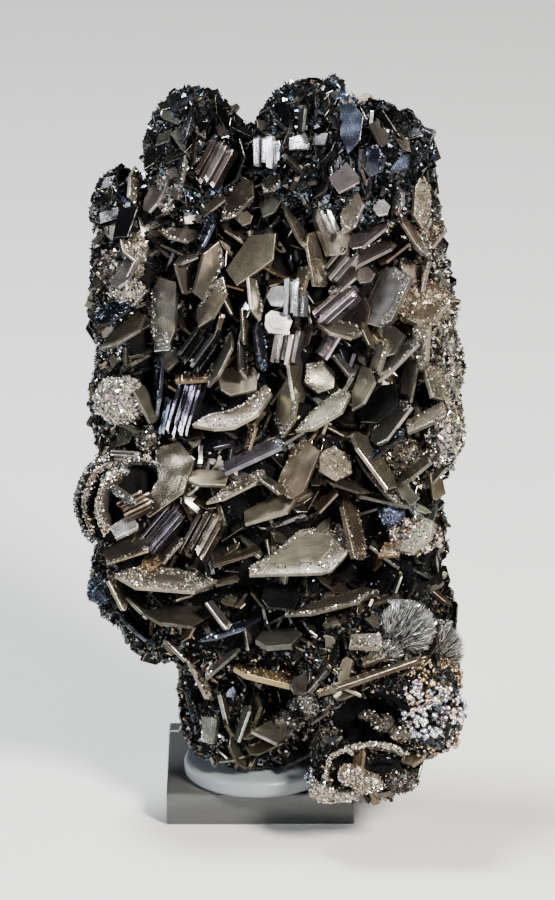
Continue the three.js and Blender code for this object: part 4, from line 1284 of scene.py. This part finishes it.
wallForm = {"root": 2.5, "radius": 3, "ends": 0.2, "arch": 0.7, "thinning": 0.5, "polish": 0.4,
            "leastSteps": 10, "stepDegrees": 5, "perArea": 0.15, "perThick": 0.4,
            "rise": (0.7, 1.4), "across": 0.5, "mostAcross": 0.55, "lean": 0.6, "up": 0.8,
            "size": (0.16, 0.42), "vary": (0.7, 1.3), "grainPolish": (0.12, 0.4)}
crestShares = {"silver": 1.5, "ash": 2, "night": 1}
wallWaves = {"ragged": ((0.14, 19), (0.1, 43)), "sway": ((0.12, 7), (0.05, 17))}


def waves(angle, kind, shifts):
    return sum(size * np.sin(angle * often + shift)
               for (size, often), shift in zip(wallWaves[kind], shifts))


# Where a point of a wall lies: along and rise run from 0 to 1, and across is a share of
# the thickness. Waves make the crest ragged and let the wall sway.
def onWall(lamella, along, rise, across):
    u, v, sizeU, sizeV, start, swept, height, thick, flare = lamella[:9]
    angle = np.radians(start + swept * along)
    ends, root = wallForm["ends"], wallForm["root"]
    crest = ends + (1 - ends) * np.sin(np.pi * np.clip(along, 0, 1)) ** wallForm["arch"]
    ragged = waves(angle, "ragged", (u, v))
    sway = waves(angle, "sway", (v, u))
    out = across * thick * (1 - wallForm["thinning"] * rise) + rise ** 2 * flare + sway
    ground = matrixDepth(u + sizeU * np.cos(angle), v + sizeV * np.sin(angle)) - root
    return np.column_stack([u + (sizeU + out) * np.cos(angle), v + (sizeV + out) * np.sin(angle),
                            ground + rise * (root + height * crest + ragged)])


# A wall starts as an upright strip, spun about the middle and then laid along its ellipse.
def modelLamella(lamella, sweptDegrees):
    clearSelection()
    bpy.ops.mesh.primitive_grid_add(x_subdivisions=2, y_subdivisions=6, size=1)
    wall = bpy.context.object
    upright = Matrix.Rotation(math.radians(90), 4, "X")
    wall.data.transform(Matrix.Translation((wallForm["radius"], 0, 0)) @ upright)
    swept = math.radians(sweptDegrees)
    steps = max(wallForm["leastSteps"], int(sweptDegrees / wallForm["stepDegrees"]))
    setMode("EDIT")
    bpy.ops.mesh.select_all(action="SELECT")
    bpy.ops.mesh.spin(steps=steps, angle=swept, center=(0, 0, 0), axis=(0, 0, 1))
    bpy.ops.mesh.select_all(action="SELECT")
    bpy.ops.mesh.remove_doubles(threshold=0.0001)
    setMode("OBJECT")
    x, y, z = readSpots(wall.data).T
    along = np.abs(np.arctan2(y, x)) / swept
    writeSpots(wall.data, onWall(lamella, along, z + 0.5, np.hypot(x, y) - wallForm["radius"]))
    setMode("EDIT")
    bpy.ops.mesh.select_all(action="SELECT")
    bpy.ops.mesh.normals_make_consistent(inside=False)
    setMode("OBJECT")
    return wall


walls = []
wallHeap = []
for lamella in lamellae:
    sizeU, sizeV, start, swept, height, thick, flare, skin, crestHue = lamella[2:]
    wall = modelLamella(lamella, swept)
    paint(wall.data, skins[skin][0], wallForm["polish"])
    walls.append(wall)
    amount = int((sizeU + sizeV) * swept * (wallForm["perArea"] + wallForm["perThick"] * thick))
    along = dice.rand(amount)
    rise = np.minimum(1, dice.uniform(*wallForm["rise"], amount))
    across = dice.normal(scale=wallForm["across"], size=amount)
    most = wallForm["mostAcross"]
    sites = onWall(lamella, along, rise, np.clip(across, -most, most))
    outs = unit(dice.normal(size=sites.shape) * wallForm["lean"] + [0, 0, wallForm["up"]])
    sizes = dice.uniform(*wallForm["size"], (amount, 1))
    sizes = sizes * dice.uniform(*wallForm["vary"], (amount, 3))
    strewGrains(wallHeap, "bead", sites, outs, sizes, {crestHue: 6, **crestShares},
                wallForm["grainPolish"])
addJoined(walls, "curved_lamellae")
addPiece(wallHeap, "lamella_grains", druseSkin)

# The stand: a frosted pad on a clear block, both with softened edges.
stand = {"padSides": 96, "padRound": 0.0009, "padSoft": 5, "padRings": (0.06, 0.2),
         "blockRound": 0.0005, "blockSoft": 3, "gap": 0.00004, "smooth": 35}


def padMaterial():
    material, tree = newMaterial("frostedPad")
    place = objectPlace(tree)
    frost = noise(tree, place, 1500, 1, 0.4)
    haze = noise(tree, place, 120, 2, 0.5)
    # The pad's blue-grey is its own frosted tone, kept darker than that pale tone as painted shade
    # under the cluster.
    finishMaterial(tree, {
        "Base Color": mixColour(tree, haze, (0.34, 0.39, 0.42, 1), (0.45, 0.49, 0.51, 1)),
        "Roughness": ramped(tree, frost, 0.3, 0.7, 0.3, 0.42),
        "Transmission Weight": 0.6, "IOR": 1.46})
    return material


def blockMaterial():
    material, tree = newMaterial("clearAcrylic")
    place = objectPlace(tree)
    smear = noise(tree, place, 90, 3, 0.6)
    scratch = addNode(tree, "ShaderNodeMapping", {"Vector": place, "Scale": (300, 2600, 300)})
    fine = noise(tree, scratch.outputs[0], 1, 2, 0.5)
    finishMaterial(tree, {
        "Base Color": mixColour(tree, smear, (0.90, 0.93, 0.94, 1), (0.95, 0.97, 0.98, 1)),
        "Roughness": combined(tree, ramped(tree, smear, 0.4, 0.7, 0.02, 0.12),
                              ramped(tree, fine, 0.62, 0.7, 0, 0.1)),
        "Transmission Weight": 0.95, "IOR": 1.49})
    return material


def modelPad():
    clearSelection()
    size = padHigh - padLow
    bpy.ops.mesh.primitive_cylinder_add(vertices=stand["padSides"], radius=size.x / 2,
                                        depth=size.z - stand["gap"])
    pad = bpy.context.object
    pad.name = "stand_pad"
    bevelFaces(pad, isCap, stand["padRound"], stand["padSoft"])
    pickFaces(pad, lambda face: face.normal.z > 0.99)
    for ring in stand["padRings"]:
        bpy.ops.mesh.inset(thickness=size.x * ring)
    setMode("OBJECT")
    middle = (padLow + padHigh) / 2 + Vector((0, 0, stand["gap"] / 2))
    pad.data.transform(Matrix.Translation(middle))
    smoothByAngle(pad, stand["smooth"])
    dress(pad, "stand_disc", padMaterial())


def modelBlock():
    clearSelection()
    bpy.ops.mesh.primitive_cube_add(size=1)
    block = bpy.context.object
    block.name = "stand_base"
    middle = (blockLow + blockHigh) / 2
    block.data.transform(Matrix.LocRotScale(middle, None, blockHigh - blockLow))
    bevelFaces(block, lambda face: True, stand["blockRound"], stand["blockSoft"])
    smoothByAngle(block, stand["smooth"])
    dress(block, "stand_block", blockMaterial())


modelPad()
modelBlock()
print("stand ready")

# Floor, lights and camera.
room = {"floor": 8.0, "floorColour": (0.6, 0.59, 0.57), "floorRough": 0.85,
        "sky": (0.42, 0.43, 0.45), "skyStrength": 0.05}
clearSelection()
bpy.ops.mesh.primitive_plane_add(size=room["floor"], location=(0, 0, 0))
floor = bpy.context.object
floor.name = "pale_floor"
floorMaterial, floorTree = newMaterial("paleFloor")
finishMaterial(floorTree, {"Base Color": (*room["floorColour"], 1), "Roughness": room["floorRough"]})
floor.data.materials.append(floorMaterial)

sky = bpy.data.worlds.new("softSky")
sky.use_nodes = True
sky.node_tree.nodes["Background"].inputs["Color"].default_value = (*room["sky"], 1)
sky.node_tree.nodes["Background"].inputs["Strength"].default_value = room["skyStrength"]
bpy.context.scene.world = sky


# Puts a lamp or a camera somewhere off the aim, looking back at it.
def lookBack(name, data, offset):
    thing = bpy.data.objects.new(name, data)
    thing.location = aim + offset
    thing.rotation_euler = offset.to_track_quat("Z", "Y").to_euler()
    bpy.context.collection.objects.link(thing)
    return thing


# The middle of the view, on the show face, and the camera's place from there.
view = {"aim": [[2.92, 57.83, 37.0]], "lens": 300, "distance": 1.25, "elevation": math.radians(20)}
aim = Vector(toWorld(np.array(view["aim"]))[0])
# Area lights: place beside the aim in metres, size, watts and colour.
lamps = {
    "keyLight": ((0.4, -0.48, 0.46), 0.18, 23, (1.0, 0.95, 0.87)),
    "fillLight": ((-0.6, -0.35, 0.2), 0.2, 4.5, (0.84, 0.91, 1.0)),
    "topLight": ((-0.15, 0.12, 0.62), 0.18, 11, (0.9, 0.95, 1.0)),
}
for name, (offset, size, power, colour) in lamps.items():
    light = bpy.data.lights.new(name, "AREA")
    light.shape, light.size, light.energy, light.color = "DISK", size, power, colour
    lookBack(name, light, Vector(offset))

cameraData = bpy.data.cameras.new("camera")
cameraData.lens = view["lens"]
back = Vector((0, -math.cos(view["elevation"]), math.sin(view["elevation"])))
bpy.context.scene.camera = lookBack("camera", cameraData, back * view["distance"])
